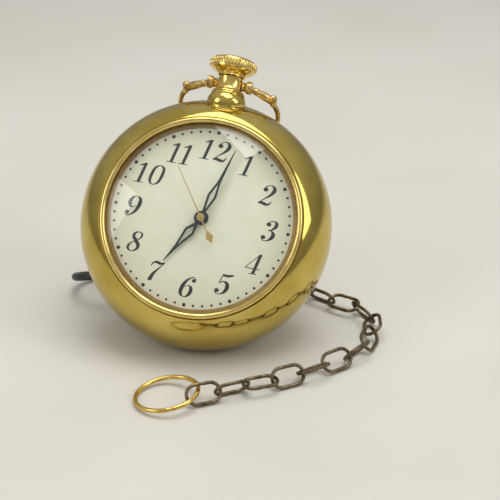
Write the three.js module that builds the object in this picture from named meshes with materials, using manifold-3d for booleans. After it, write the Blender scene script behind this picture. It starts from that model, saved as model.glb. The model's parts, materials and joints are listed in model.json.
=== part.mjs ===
// Oversized pocket-watch clock: an electric dial clock in a deep round gilt case, with a crown and a hinged
// bow on top, a chain that falls from the bow and lies on the table, and a mains lead.
//
// Units are millimetres, +Z is up and the dial faces -Y. The clock stands on its rounded rim and on the lower
// edge of the drum behind it, so the dial leans back. Pieces of the clock are modelled in the dial's own frame:
// x to 3 o'clock, y to 12 o'clock and z out of the dial, with z = 0 at the widest plane of the case.
// The chain and the lead are modelled in the table's frame, above the point below the case's centre.
import * as THREE from 'three';
import { mergeVertices } from 'three/addons/utils/BufferGeometryUtils.js';
import Module from 'manifold-3d';

const wasm = await Module();
wasm.setup();
const { Manifold, Mesh: SolidMesh } = wasm;
const degrees = Math.PI / 180;

// ---------------------------------------------------------------- Sizes

const gap = 0.3; // between pieces that touch

// How it stands
const lean = 33.5; // degrees that the dial leans back
const roll = 7.7; // degrees that the case has rolled clockwise
const dialTurn = 0.8; // degrees that the dial sits clockwise of the crown

// Case
const caseRadius = 84;
const rimSwell = 30; // radius of the rounded rim's section, across the case
const frontDepth = 36; // the same along the dial's axis, in front of the widest plane
const backDepth = 25; // and behind it
const shellWall = 1.2;
const seamLevel = -2; // where the front shell meets the back shell
const seamGap = 0.4;
const spigotLength = 6; // the back shell's ring inside the front shell
const caseSides = 30;

// Glass, bead and dial
const dialLevel = 28; // the printed face
const dialThickness = 0.8;
const dialRadius = caseRadius - 21;
const dialSeen = 59.3; // inside radius of the ring that frames the dial
const openingRadius = caseRadius - 17.7; // inside the front shell's lip
const beadInner = 62.4;
const beadThickness = 3.6;
const beadLevel = 33.4;
const glassThickness = 2;
const glassRise = 9.2;
const glassEdgeLevel = 31.6;
const lipWall = 1.2;

// Drum behind the case, which holds the motor
const drumRadius = 50;
const drumWall = 1.2;
const backOpening = drumRadius - 4;
const screwCircle = drumRadius - 9;
const screwRadius = 1.5;
const screwHeadRadius = 3.2;
const screwHeadHeight = 1.6;

// Crown and pendant
const pendantLevel = 14; // the crown's axis, in front of the widest plane
const collarTop = caseRadius + 3;
const collarTopRadius = 11.4;
const collarFootRadius = 13.3;
const collarFoot = caseRadius - 7;
const footFlare = 1.2;
const neckRadius = 8.2;
const neckTop = caseRadius + 14;
const crownRadius = 15.9;
const crownRim = caseRadius + 20.2; // the lower edge of the fluted band
const crownBand = 4.3;
const crownTop = caseRadius + 28;
const stemRadius = 2.4;
const stemDepth = 8; // inside the shell

// Bow
const pivotHeight = caseRadius + 9.3;
const eyeInner = 11.4; // from the crown's axis to the bow's eyes
const eyeThickness = 3.6;
const eyeRadius = 4.2;
const bowPinRadius = 1.8;
const socketDepth = 2.6; // of the blind hole in each end of the bow
const bowWire = 2.1; // section radius
const bowLength = 60; // from pivot to the middle of the far bar
const bowWidth = 33.5; // half the width, at its widest
const bowHang = 122; // degrees that the bow hangs back from upright

// Movement
const plateRadius = 45;
const plateThickness = 1.5;
const backPlateLevel = 0;
const frontPlateLevel = 18.5;
const arborRadius = 1;
const trainDistance = 19; // seconds arbor to intermediate arbor
const trainAngle = 30;
const motionDistance = 15; // centre to minute wheel, and minute wheel to setting pinion
const motionAngle = 150;
const rotorDistance = 21.6;
const rotorAngle = -90;
const rotorPinionTeeth = 10;
const secondsTeeth = 30;
const smallPinionTeeth = 6;
const intermediateTeeth = 45;
const centreTeeth = 48;
const cannonTeeth = 10;
const minuteTeeth = 30;
const minutePinionTeeth = 8;
const hourTeeth = 32;
const settingTeeth = 10;
const wheelThickness = 1.5;

// Motor
const coreHalfWidth = 24;
const coreTop = 26;
const coreBottom = -42;
const coreFront = -8;
const coreThickness = 12;
const limbWidth = 12;
const canRadius = 15;
const canWall = 0.8;
const coilBuild = 7; // depth of the winding round its limb
const coilHalfLength = 13.5;

// Hands, above the widest plane
const hourHandLevel = 29.6;
const minuteHandLevel = 31.4;
const secondHandLevel = 33.6;
const handThickness = 0.6;
const hourAngle = 210.5;
const minuteAngle = 16;
const secondAngle = 325;

// Setting knob
const knobRadius = 7;
const knobLength = 9;

// Chain and end ring
const linkLength = 24.7;
const linkWidth = 15;
const linkWire = 1.25; // section radius
const linkSlack = 0.7;
const layHeight = 6.6; // the chain's middle line above the table
const ringRadius = 20.05; // to the middle of its wire
const ringWire = 1.45;
const ringTilt = 9; // degrees that the chain lifts its side

// Mains lead
const cordRadius = 2.7;
const reliefLength = 25;
const reliefAngle = 240; // clock angle at which the lead leaves the drum
const reliefLevel = -45;
const coilRadius = 30; // to the middle of the turns
const coilHalfWidth = 11.1; // four turns side by side
const coilHeight = 11; // and two deep
const coilPlace = [-22, 128];
const plugBearing = 20; // degrees round the coil at which the plug's tail lies
const plugLength = 26;
const plugRadius = 11.5;
const plugFlatness = 0.7;
const pinLength = 16;
const pinSpacing = 12.7;

// ---------------------------------------------------------------- Materials

const finish = (color, roughness, metalness) =>
  new THREE.MeshStandardMaterial({ color, roughness, metalness });
const gilt = finish(0xb8973f, 0.22, 1);
const brightGilt = finish(0xd3ab4e, 0.2, 1);
const bronze = finish(0x5a4c3a, 0.45, 0.9);
const ivory = finish(0xdedbc4, 0.55, 0);
const black = finish(0x17171a, 0.4, 0);
const blackPaint = finish(0x121214, 0.45, 0.2);
const brass = finish(0xb99a55, 0.35, 1);
const steel = finish(0x8e9092, 0.35, 1);
const iron = finish(0x55565a, 0.55, 0.8);
const copperTape = finish(0x8a5a2a, 0.6, 0);
const brown = finish(0x6b5531, 0.5, 0.4);
const clear = new THREE.MeshStandardMaterial({
  color: 0xf2f5f2,
  roughness: 0.05,
  metalness: 0,
  transparent: true,
  opacity: 0.25,
});

// ---------------------------------------------------------------- Solids

// Merges shared corners, drops slivers without area and turns the faces outwards.
function closed(geometry) {
  let bare = geometry.index ? geometry : mergeVertices(geometry);
  bare.deleteAttribute('normal');
  bare.deleteAttribute('uv');
  bare = mergeVertices(bare, 1e-4);
  const place = bare.getAttribute('position');
  const [a, b, c] = [new THREE.Vector3(), new THREE.Vector3(), new THREE.Vector3()];
  const faces = [];
  let volume = 0;
  for (let i = 0; i < bare.index.count; i += 3) {
    const corner = [0, 1, 2].map((k) => bare.index.getX(i + k));
    if (new Set(corner).size < 3) continue;
    [a, b, c].forEach((v, k) => v.fromBufferAttribute(place, corner[k]));
    volume += a.dot(b.clone().cross(c));
    faces.push(corner);
  }
  const turned = volume < 0 ? faces.map(([p, q, r]) => [p, r, q]) : faces;
  bare.setIndex(turned.flat());
  return bare;
}

const toSolid = (geometry) => {
  const bare = closed(geometry);
  return new Manifold(
    new SolidMesh({
      numProp: 3,
      vertProperties: new Float32Array(bare.getAttribute('position').array),
      triVerts: new Uint32Array(bare.index.array),
    }),
  );
};

const toGeometry = (solid) => {
  const mesh = solid.getMesh();
  const geometry = new THREE.BufferGeometry();
  geometry.setAttribute('position', new THREE.BufferAttribute(new Float32Array(mesh.vertProperties), 3));
  geometry.setIndex(new THREE.BufferAttribute(new Uint32Array(mesh.triVerts), 1));
  return geometry;
};

const join = (...geometries) =>
  toGeometry(geometries.map(toSolid).reduce((whole, next) => whole.add(next)));

const cut = (geometry, ...tools) =>
  toGeometry(tools.map(toSolid).reduce((left, tool) => left.subtract(tool), toSolid(geometry)));

// A turned piece about z. The profile is [radius, level] points.
function turned(profile, sides = 24, start = 0) {
  const points = profile.map(([r, z]) => new THREE.Vector2(Math.max(r, 0), z));
  const first = points[0];
  const last = points[points.length - 1];
  if (first.x > 0 || last.x > 0) points.push(first.clone());
  const geometry = new THREE.LatheGeometry(points, sides);
  geometry.rotateX(90 * degrees);
  geometry.rotateZ(start * degrees);
  return closed(geometry);
}

const rod = (radius, from, to, sides = 16) =>
  turned([[0, from], [radius, from], [radius, to], [0, to]], sides);

const tube = (inner, outer, from, to, sides = 16) =>
  turned([[inner, from], [outer, from], [outer, to], [inner, to]], sides);

// A flat piece between two levels, from a shape drawn in the dial's plane.
function flat(shape, from, thickness, curveSegments = 12) {
  const geometry = new THREE.ExtrudeGeometry(shape, {
    depth: thickness,
    bevelEnabled: false,
    curveSegments,
  });
  geometry.translate(0, 0, from);
  return closed(geometry);
}

// A round wire along a curve.
function wire(curve, radius, sides, steps) {
  const section = new THREE.Shape();
  for (let k = 0; k < sides; k += 1) {
    const angle = (2 * Math.PI * k) / sides;
    const [x, y] = [radius * Math.cos(angle), radius * Math.sin(angle)];
    if (k === 0) section.moveTo(x, y);
    else section.lineTo(x, y);
  }
  section.closePath();
  return closed(new THREE.ExtrudeGeometry(section, { extrudePath: curve, steps, bevelEnabled: false }));
}

const moved = (geometry, x, y, z = 0) => geometry.clone().translate(x, y, z);
const polar = (radius, angle) => [
  radius * Math.cos(angle * degrees),
  radius * Math.sin(angle * degrees),
];

// ---------------------------------------------------------------- The assembly's groups

const coreRadius = caseRadius - rimSwell; // the circle that the rim's section is centred on
const supportHeight =
  coreRadius * Math.cos(lean * degrees) +
  Math.hypot(rimSwell * Math.cos(lean * degrees), backDepth * Math.sin(lean * degrees));
const drumBack = -(supportHeight - drumRadius * Math.cos(lean * degrees)) / Math.sin(lean * degrees);

const clock = new THREE.Group();
clock.position.set(0, 0, supportHeight);
clock.rotation.set((90 - lean) * degrees, 0, -roll * degrees);
clock.updateMatrix();
const dialGroup = new THREE.Group();
dialGroup.rotation.z = -dialTurn * degrees;
clock.add(dialGroup);
const table = new THREE.Group();
const part = new THREE.Group();
part.add(clock, table);

function piece(name, geometry, material, parent = clock) {
  const mesh = new THREE.Mesh(geometry, material);
  mesh.name = name;
  parent.add(mesh);
  return mesh;
}

// ---------------------------------------------------------------- Case shells

// A point of the rim's section, inside the outer surface by some depth. 90 is the front, 0 the widest plane.
function rimPoint(angle, inside = 0) {
  const depth = angle >= 0 ? frontDepth : backDepth;
  return [
    coreRadius + (rimSwell - inside) * Math.cos(angle * degrees),
    (depth - inside) * Math.sin(angle * degrees),
  ];
}

// The angle of the rim's section at a radius, on the front or, with side -1, on the back.
const rimAngle = (radius, inside, side) =>
  (side * Math.acos((radius - coreRadius) / (rimSwell - inside))) / degrees;

function rimArc(from, to, steps, inside = 0) {
  const points = [];
  for (let k = 0; k <= steps; k += 1) points.push(rimPoint(from + ((to - from) * k) / steps, inside));
  return points;
}

const seamAngle = (level, inside) => Math.asin(level / (backDepth - inside)) / degrees;

function frontShell() {
  const lipOuter = openingRadius + lipWall;
  const seatLevel = dialLevel - dialThickness - gap;
  const seatRadius = dialRadius - 2;
  const profile = [
    ...rimArc(seamAngle(seamLevel, 0), rimAngle(openingRadius, 0, 1), 8),
    [openingRadius, seatLevel],
    [seatRadius, seatLevel],
    [seatRadius, seatLevel - lipWall],
    [lipOuter, seatLevel - lipWall],
    ...rimArc(rimAngle(lipOuter, shellWall, 1), seamAngle(seamLevel, shellWall), 6, shellWall),
  ];
  const stemHole = rod(stemRadius + gap, 0, caseRadius, 12);
  stemHole.rotateX(-90 * degrees);
  stemHole.translate(0, coreRadius, pendantLevel);
  return cut(turned(profile, caseSides, roll), stemHole);
}

function backShell() {
  const from = seamLevel - seamGap;
  const flatLevel = -backDepth;
  const spigotInside = shellWall + gap;
  return turned(
    [
      ...rimArc(seamAngle(from, 0), -90, 6),
      [backOpening, flatLevel],
      [backOpening, flatLevel + shellWall],
      ...rimArc(-90, seamAngle(from, spigotInside + shellWall), 5, spigotInside + shellWall).slice(1),
      [rimPoint(0, spigotInside + shellWall)[0], from + spigotLength],
      [rimPoint(0, spigotInside)[0] - gap, from + spigotLength],
      [rimPoint(0, spigotInside)[0] - gap, from],
    ],
    caseSides,
    roll,
  );
}

piece('front_case', frontShell(), gilt);
piece('back_case', backShell(), gilt);

// ---------------------------------------------------------------- Glass, bead and dial

const beadRadius = beadThickness / 2;
const beadOuter = beadInner + beadThickness;
const glassRadius = beadInner + 1.5;

function beadRing() {
  const middle = beadInner + beadRadius;
  const profile = [];
  for (let angle = 180; angle >= 0; angle -= 45) {
    profile.push([
      middle + beadRadius * Math.cos(angle * degrees),
      beadLevel + beadRadius * Math.sin(angle * degrees),
    ]);
  }
  const underGlass = glassEdgeLevel + 0.8;
  profile.push([beadOuter, dialLevel + gap], [glassRadius + gap, dialLevel + gap]);
  profile.push([glassRadius + gap, underGlass], [beadInner, underGlass]);
  return turned(profile, caseSides, roll);
}

// A dome of even thickness.
function glass() {
  const sphere = (glassRadius ** 2 + glassRise ** 2) / (2 * glassRise);
  const dome = (radius, level) => level + glassRise - sphere + Math.sqrt(sphere ** 2 - radius ** 2);
  const steps = 4;
  const profile = [];
  for (let k = 0; k <= steps; k += 1) {
    const radius = (glassRadius * k) / steps;
    profile.push([radius, dome(radius, glassEdgeLevel)]);
  }
  for (let k = steps; k >= 0; k -= 1) {
    const radius = (glassRadius * k) / steps;
    profile.push([radius, dome(radius, glassEdgeLevel - glassThickness)]);
  }
  return turned(profile, caseSides, roll);
}

piece('glass_bead_ring', beadRing(), brightGilt);
piece('domed_glass', glass(), clear);
piece('dial_frame_ring', turned([
  [dialSeen, dialLevel + gap],
  [dialSeen, dialLevel + gap + 0.4],
  [glassRadius - gap, glassEdgeLevel - glassThickness - gap],
  [glassRadius - gap, dialLevel + gap],
], caseSides, roll), brown);
piece('dial', tube(4.2, dialRadius, dialLevel - dialThickness, dialLevel, caseSides), ivory, dialGroup);

// ---------------------------------------------------------------- Crown, neck and collar

// Turned about the crown's axis, with heights measured from the clock's centre.
function onPendant(profile, sides = 20) {
  const geometry = turned(profile, sides);
  geometry.rotateX(-90 * degrees);
  geometry.translate(0, 0, pendantLevel);
  return geometry;
}

function collar() {
  const root = coreRadius + rimSwell / 2;
  const body = onPendant([
    [stemRadius + gap, root],
    [collarFootRadius + footFlare, root],
    [collarFootRadius + footFlare, collarFoot - footFlare],
    [collarFootRadius, collarFoot],
    [collarTopRadius + 0.4, collarTop - 1],
    [collarTopRadius, collarTop],
    [stemRadius + gap, collarTop],
  ]);
  const caseSolid = turned([
    [0, -backDepth],
    ...rimArc(-90, 90, 12, -gap),
    [0, frontDepth + gap],
  ], caseSides, roll);
  return cut(body, caseSolid);
}

function neck() {
  const foot = collarTop + gap;
  return onPendant([
    [stemRadius + gap, foot],
    [neckRadius + 2.6, foot],
    [neckRadius + 2.6, foot + 0.8],
    [neckRadius + 0.4, foot + 2],
    [neckRadius, foot + 4],
    [neckRadius, neckTop],
    [stemRadius + gap, neckTop],
  ]);
}

// The crown and its threaded stem, which runs down through the neck and collar into the case.
function crown() {
  const shellInside = rimPoint(Math.asin(pendantLevel / frontDepth) / degrees, shellWall)[0];
  const foot = neckTop + gap;
  return onPendant([
    [0, shellInside - stemDepth],
    [stemRadius, shellInside - stemDepth],
    [stemRadius, foot],
    [neckRadius + 0.6, foot],
    [neckRadius + 1.4, foot + 1.6],
    [crownRadius * 0.72, crownRim - 2.8],
    [crownRadius - 1.6, crownRim - 1.2],
    [crownRadius, crownRim],
    [crownRadius, crownRim + crownBand],
    [crownRadius - 2, crownTop - 1.6],
    [crownRadius / 2, crownTop],
    [0, crownTop],
  ], 24);
}

piece('pendant_collar', collar(), gilt);
piece('pendant_neck', neck(), brightGilt);
piece('winding_crown', crown(), brightGilt);

// ---------------------------------------------------------------- Bow

// A ribbed boss on the neck, with the pin that one end of the bow springs on to.
function bowPin() {
  const start = neckRadius + gap;
  const sleeveEnd = eyeInner - gap;
  const ribs = 3;
  const pitch = (sleeveEnd - start) / ribs;
  const profile = [[0, start]];
  for (let k = 0; k < ribs; k += 1) {
    profile.push([2.7, start + k * pitch], [3.5, start + (k + 0.5) * pitch]);
  }
  const pinEnd = eyeInner + socketDepth - gap;
  profile.push([2.7, sleeveEnd], [bowPinRadius, sleeveEnd], [bowPinRadius, pinEnd], [0, pinEnd]);
  const geometry = turned(profile, 10);
  geometry.rotateY(90 * degrees);
  return geometry;
}

for (const [side, turn] of [['left', 180], ['right', 0]]) {
  const pin = piece(`bow_pin_${side}`, bowPin(), brightGilt);
  pin.position.set(0, pivotHeight, pendantLevel);
  pin.rotation.z = turn * degrees;
}

// The bow upright in its own plane, with its pivots on the x axis.
function bow() {
  const half = [
    [bowWidth * 0.52, 1.5],
    [bowWidth * 0.8, 5.5],
    [bowWidth * 0.93, 12],
    [bowWidth, bowLength * 0.36],
    [bowWidth * 0.97, bowLength * 0.56],
    [bowWidth * 0.82, bowLength * 0.75],
    [bowWidth * 0.52, bowLength * 0.92],
  ];
  const eyeMiddle = eyeInner + eyeThickness / 2;
  const right = [[eyeMiddle, 0], ...half].map(([x, y]) => new THREE.Vector3(x, y, 0));
  const left = right.map((p) => new THREE.Vector3(-p.x, p.y, 0)).reverse();
  const curve = new THREE.CatmullRomCurve3(
    [...right, new THREE.Vector3(0, bowLength, 0), ...left],
    false,
    'centripetal',
  );
  const eyes = [1, -1].map((side) => {
    const eye = rod(eyeRadius, -eyeThickness / 2, eyeThickness / 2, 10);
    eye.rotateY(90 * degrees);
    eye.translate(side * eyeMiddle, 0, 0);
    return eye;
  });
  const socketEnd = eyeInner + socketDepth;
  const socket = rod(bowPinRadius + gap, -socketEnd, socketEnd, 10);
  socket.rotateY(90 * degrees);
  return cut(join(wire(curve, bowWire, 6, 28), ...eyes), socket);
}

const bowMesh = piece('bow', bow(), brightGilt);
bowMesh.position.set(0, pivotHeight, pendantLevel);
bowMesh.rotation.x = -bowHang * degrees;

// ---------------------------------------------------------------- Motor drum

const [settingX, settingY] = polar(motionDistance, motionAngle).map(
  (v, k) => v + polar(motionDistance, 180)[k],
);
const screwPlaces = [90, 210, 330].map((angle) => polar(screwCircle, angle));
const settingArborRadius = 1.4;

function drum() {
  const front = -backDepth - gap;
  const cup = turned([
    [0, drumBack],
    [drumRadius, drumBack],
    [drumRadius, front],
    [drumRadius - drumWall, front],
    [drumRadius - drumWall, drumBack + drumWall],
    [0, drumBack + drumWall],
  ], caseSides, roll);
  const through = drumBack - 1;
  const holes = screwPlaces.map(([x, y]) => moved(rod(screwRadius + gap, through, through + 4, 12), x, y));
  holes.push(moved(rod(settingArborRadius + gap, through, through + 4, 12), settingX, settingY));
  const exit = rod(reliefNeck + gap, drumRadius - 6, drumRadius + 4, 16);
  exit.applyMatrix4(reliefPlace);
  return cut(cup, ...holes, exit);
}

// The strain relief's axis leaves the drum along +z of this placement.
const reliefNeck = 4.4;
const reliefPlace = new THREE.Matrix4()
  .makeTranslation(0, 0, reliefLevel)
  .multiply(new THREE.Matrix4().makeRotationZ((90 - reliefAngle) * degrees))
  .multiply(new THREE.Matrix4().makeRotationY(90 * degrees));

function strainRelief() {
  const inside = drumRadius * Math.cos((180 / caseSides) * degrees) - drumWall;
  const outside = drumRadius + gap;
  const geometry = turned([
    [0, inside - gap - 2],
    [reliefNeck + 1.6, inside - gap - 2],
    [reliefNeck + 1.6, inside - gap - 0.4],
    [reliefNeck, inside - gap - 0.4],
    [reliefNeck, outside],
    [reliefNeck + 1.4, outside],
    [reliefNeck + 1.2, outside + 2.5],
    [cordRadius + 0.5, outside + reliefLength],
    [0, outside + reliefLength],
  ], 12);
  geometry.applyMatrix4(reliefPlace);
  return geometry;
}

function caseScrew() {
  const head = drumBack - gap;
  return turned([
    [0, head - screwHeadHeight],
    [screwHeadRadius * 0.8, head - screwHeadHeight],
    [screwHeadRadius, head - 0.4],
    [screwHeadRadius, head],
    [screwRadius, head],
    [screwRadius, backPlateLevel + plateThickness],
    [0, backPlateLevel + plateThickness],
  ], 10);
}

piece('motor_drum', drum(), gilt);
screwPlaces.forEach(([x, y], k) => {
  piece(`drum_screw_${k + 1}`, caseScrew(), steel).position.set(x, y, 0);
});
piece('strain_relief', strainRelief(), black);

// ---------------------------------------------------------------- Movement plates

const [trainX, trainY] = polar(trainDistance, trainAngle);
const [motionX, motionY] = polar(motionDistance, motionAngle);
const [rotorX, rotorY] = polar(rotorDistance, rotorAngle);
const cannonBore = arborRadius + gap;
const cannonOuter = cannonBore + 0.8;
const shaftRadius = 1.2;

function backPlate() {
  const top = backPlateLevel + plateThickness;
  const pillarEnd = frontPlateLevel - gap;
  const pillars = [[34, 20], [-34, 20], [0, -39]].map(([x, y]) => moved(rod(2.2, top - 0.5, pillarEnd, 6), x, y));
  const studs = [[20, coreTop - limbWidth / 2], [-20, coreTop - limbWidth / 2]].map(([x, y]) =>
    moved(rod(2.2, coreFront + gap, backPlateLevel + 0.5, 6), x, y));
  const body = join(rod(plateRadius, backPlateLevel, top, 24), ...pillars, ...studs);
  const drill = (radius, x, y) => moved(rod(radius, backPlateLevel - 1, top + 1, 8), x, y);
  return cut(
    body,
    ...screwPlaces.map(([x, y]) => drill(screwRadius + gap, x, y)),
    drill(arborRadius + gap, 0, 0),
    drill(arborRadius + gap, trainX, trainY),
    drill(shaftRadius + gap, rotorX, rotorY),
    drill(settingArborRadius + gap, settingX, settingY),
  );
}

function frontPlate() {
  const top = frontPlateLevel + plateThickness;
  const stud = moved(rod(arborRadius, top - 0.5, dialLevel - dialThickness - 1, 12), motionX, motionY);
  const drill = (radius, x, y) => moved(rod(radius, frontPlateLevel - 1, top + 1, 8), x, y);
  return cut(
    join(rod(plateRadius, frontPlateLevel, top, 24), stud),
    drill(cannonOuter + gap, 0, 0),
    drill(arborRadius + gap, trainX, trainY),
    drill(settingArborRadius + gap, settingX, settingY),
  );
}

piece('back_plate', backPlate(), brass);
piece('front_plate', frontPlate(), brass);

// ---------------------------------------------------------------- Gears

// A clock wheel with pointed teeth, one of them centred on the direction given.
function gear(teeth, module, from, thickness, bore, direction) {
  const pitchRadius = (teeth * module) / 2;
  const tip = pitchRadius + 0.8 * module;
  const root = pitchRadius - 1.15 * module;
  const shape = new THREE.Shape();
  for (let k = 0; k < teeth; k += 1) {
    const angle = direction + (360 * k) / teeth;
    const rootHalf = ((0.62 * module) / root / degrees);
    const tipHalf = ((0.26 * module) / tip / degrees);
    const corners = [
      polar(root, angle - rootHalf),
      polar(tip, angle - tipHalf),
      polar(tip, angle + tipHalf),
      polar(root, angle + rootHalf),
    ];
    corners.forEach(([x, y], n) => {
      if (k === 0 && n === 0) shape.moveTo(x, y);
      else shape.lineTo(x, y);
    });
  }
  shape.closePath();
  if (bore > 0) {
    const hole = new THREE.Path();
    hole.absarc(0, 0, bore, 0, 2 * Math.PI, true);
    shape.holes.push(hole);
  }
  return flat(shape, from, thickness, 6);
}

const oneRevolution = 360;
const gapOpposite = (angle, teeth) => angle + 180 + oneRevolution / teeth / 2;
const rotorModule = (2 * rotorDistance) / (rotorPinionTeeth + secondsTeeth);
const firstModule = (2 * trainDistance) / (smallPinionTeeth + intermediateTeeth);
const secondModule = (2 * trainDistance) / (smallPinionTeeth + centreTeeth);
const cannonModule = (2 * motionDistance) / (cannonTeeth + minuteTeeth);
const hourModule = (2 * motionDistance) / (minutePinionTeeth + hourTeeth);
const settingModule = (2 * motionDistance) / (settingTeeth + minuteTeeth);

// Levels of the wheels, counted up from the back plate.
const secondsWheelLevel = backPlateLevel + plateThickness + 2.2;
const firstPinionLevel = secondsWheelLevel + wheelThickness + 1;
const firstWheelLevel = firstPinionLevel + 0.8;
const secondPinionLevel = firstPinionLevel + 4;
const centreWheelLevel = secondPinionLevel + 1;
const cannonLevel = frontPlateLevel + plateThickness + gap;
const minuteWheelLevel = cannonLevel + 0.4;
const minutePinionLevel = minuteWheelLevel + wheelThickness;
const hourWheelLevel = minutePinionLevel + 1;

const secondsArbor = join(
  rod(arborRadius, backPlateLevel - 0.5, secondHandLevel + handThickness + 0.6, 12),
  gear(secondsTeeth, rotorModule, secondsWheelLevel, wheelThickness, 0, rotorAngle),
  gear(smallPinionTeeth, firstModule, firstPinionLevel, 3, 0, trainAngle),
);
piece('seconds_arbor', secondsArbor, steel);

const intermediate = join(
  rod(arborRadius, backPlateLevel - 0.5, frontPlateLevel + plateThickness + 0.3, 12),
  gear(intermediateTeeth, firstModule, firstWheelLevel, wheelThickness, 0,
    gapOpposite(trainAngle, intermediateTeeth)),
  gear(smallPinionTeeth, secondModule, secondPinionLevel, 3.5, 0, trainAngle + 180),
);
piece('intermediate_wheel', intermediate, brass).position.set(trainX, trainY, 0);

const cannon = join(
  tube(cannonBore, cannonOuter, centreWheelLevel - 0.5, minuteHandLevel + handThickness + 0.5, 12),
  gear(cannonTeeth, cannonModule, cannonLevel, 2.2, cannonBore + 0.2, motionAngle),
);
piece('cannon_pinion', cannon, steel);

const centreWheel = gear(centreTeeth, secondModule, centreWheelLevel, wheelThickness, cannonOuter + gap,
  gapOpposite(trainAngle + 180, centreTeeth));
piece('centre_wheel', centreWheel, brass);

const minuteWheel = join(
  gear(minuteTeeth, cannonModule, minuteWheelLevel, wheelThickness, arborRadius + gap,
    gapOpposite(motionAngle, minuteTeeth)),
  gear(minutePinionTeeth, hourModule, minutePinionLevel - 0.1, 2.8, arborRadius + gap, motionAngle + 180),
);
piece('minute_wheel', minuteWheel, brass).position.set(motionX, motionY, 0);

const pipeBore = cannonOuter + gap;
const pipeOuter = pipeBore + 0.8;
const hourWheel = join(
  gear(hourTeeth, hourModule, hourWheelLevel, wheelThickness, pipeBore + 0.2,
    gapOpposite(motionAngle + 180, hourTeeth)),
  tube(pipeBore, pipeOuter, hourWheelLevel - 0.1, hourHandLevel + handThickness + 0.4, 12),
);
piece('hour_wheel', hourWheel, brass);

const settingArbor = join(
  rod(settingArborRadius, drumBack - 3, minuteWheelLevel + wheelThickness + 0.5, 12),
  gear(settingTeeth, settingModule, minuteWheelLevel, wheelThickness, 0, gapOpposite(180, settingTeeth)),
);
piece('setting_arbor', settingArbor, steel).position.set(settingX, settingY, 0);

function knob() {
  const front = drumBack - 1;
  const back = front - knobLength;
  return turned([
    [settingArborRadius + gap, front],
    [knobRadius - 1, front],
    [knobRadius, front - 1],
    [knobRadius, back + 1],
    [knobRadius - 1, back],
    [0, back],
    [0, drumBack - 3 - gap],
    [settingArborRadius + gap, drumBack - 3 - gap],
  ], 20);
}
piece('setting_knob', knob(), black).position.set(settingX, settingY, 0);

// ---------------------------------------------------------------- Motor

function fieldCore() {
  const shape = new THREE.Shape();
  const slit = 1.5;
  const bore = canRadius + 0.4;
  const windowBottom = rotorY + bore + 3;
  const windowTop = coreTop - limbWidth;
  const windowHalf = coreHalfWidth - 8;
  const slitAngle = Math.asin(slit / bore) / degrees;
  shape.moveTo(coreHalfWidth, coreTop);
  shape.lineTo(-coreHalfWidth, coreTop);
  shape.lineTo(-coreHalfWidth, coreBottom);
  shape.lineTo(-slit, coreBottom);
  shape.absarc(0, rotorY, bore, (270 - slitAngle) * degrees, (90 + slitAngle) * degrees, true);
  shape.lineTo(-slit, windowBottom);
  shape.lineTo(-windowHalf, windowBottom);
  shape.lineTo(-windowHalf, windowTop);
  shape.lineTo(windowHalf, windowTop);
  shape.lineTo(windowHalf, windowBottom);
  shape.lineTo(slit, windowBottom);
  shape.absarc(0, rotorY, bore, (90 - slitAngle) * degrees, (-90 + slitAngle) * degrees, true);
  shape.lineTo(slit, coreBottom);
  shape.lineTo(coreHalfWidth, coreBottom);
  shape.closePath();
  return flat(shape, coreFront - coreThickness, coreThickness, 10);
}

// The winding, a block round the core's upper limb with rounded corners.
function fieldCoil() {
  const limbMiddle = coreTop - limbWidth / 2;
  const [halfHeight, halfDepth] = [limbWidth / 2 + coilBuild, coreThickness / 2 + coilBuild - 2];
  const outline = new THREE.Shape();
  const corner = 3;
  outline.absarc(halfHeight - corner, halfDepth - corner, corner, 0, 90 * degrees);
  outline.absarc(-halfHeight + corner, halfDepth - corner, corner, 90 * degrees, 180 * degrees);
  outline.absarc(-halfHeight + corner, -halfDepth + corner, corner, 180 * degrees, 270 * degrees);
  outline.absarc(halfHeight - corner, -halfDepth + corner, corner, 270 * degrees, 360 * degrees);
  const hole = new THREE.Path();
  const [holeHeight, holeDepth] = [limbWidth / 2 + gap, coreThickness / 2 + gap];
  hole.moveTo(holeHeight, holeDepth);
  hole.lineTo(holeHeight, -holeDepth);
  hole.lineTo(-holeHeight, -holeDepth);
  hole.lineTo(-holeHeight, holeDepth);
  hole.closePath();
  outline.holes.push(hole);
  const geometry = flat(outline, -coilHalfLength, 2 * coilHalfLength, 3);
  geometry.rotateX(90 * degrees);
  geometry.rotateZ(90 * degrees);
  geometry.translate(0, limbMiddle, coreFront - coreThickness / 2);
  return geometry;
}

const canBack = coreFront - coreThickness - 2;
const canFront = coreFront + 2;
piece('field_core', fieldCore(), iron);
piece('field_coil', fieldCoil(), copperTape);
piece('rotor_can', turned([
  [0, canBack],
  [canRadius, canBack],
  [canRadius, canFront],
  [shaftRadius + gap, canFront],
  [shaftRadius + gap, canFront - canWall],
  [canRadius - canWall, canFront - canWall],
  [canRadius - canWall, canBack + canWall],
  [0, canBack + canWall],
], 20), steel).position.set(rotorX, rotorY, 0);
const rotorDiscBack = canBack + canWall + 1.2;
piece('rotor_disc', rod(canRadius - canWall - 1.2, rotorDiscBack, rotorDiscBack + 5, 16), iron)
  .position.set(rotorX, rotorY, 0);
const outputPinion = join(
  rod(shaftRadius, rotorDiscBack + 5 + 2, secondsWheelLevel + 4, 12),
  gear(rotorPinionTeeth, rotorModule, secondsWheelLevel - 0.5, 3, 0,
    gapOpposite(rotorAngle, rotorPinionTeeth)),
);
piece('motor_pinion', outputPinion, steel).position.set(rotorX, rotorY, 0);

// ---------------------------------------------------------------- Hands

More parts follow.
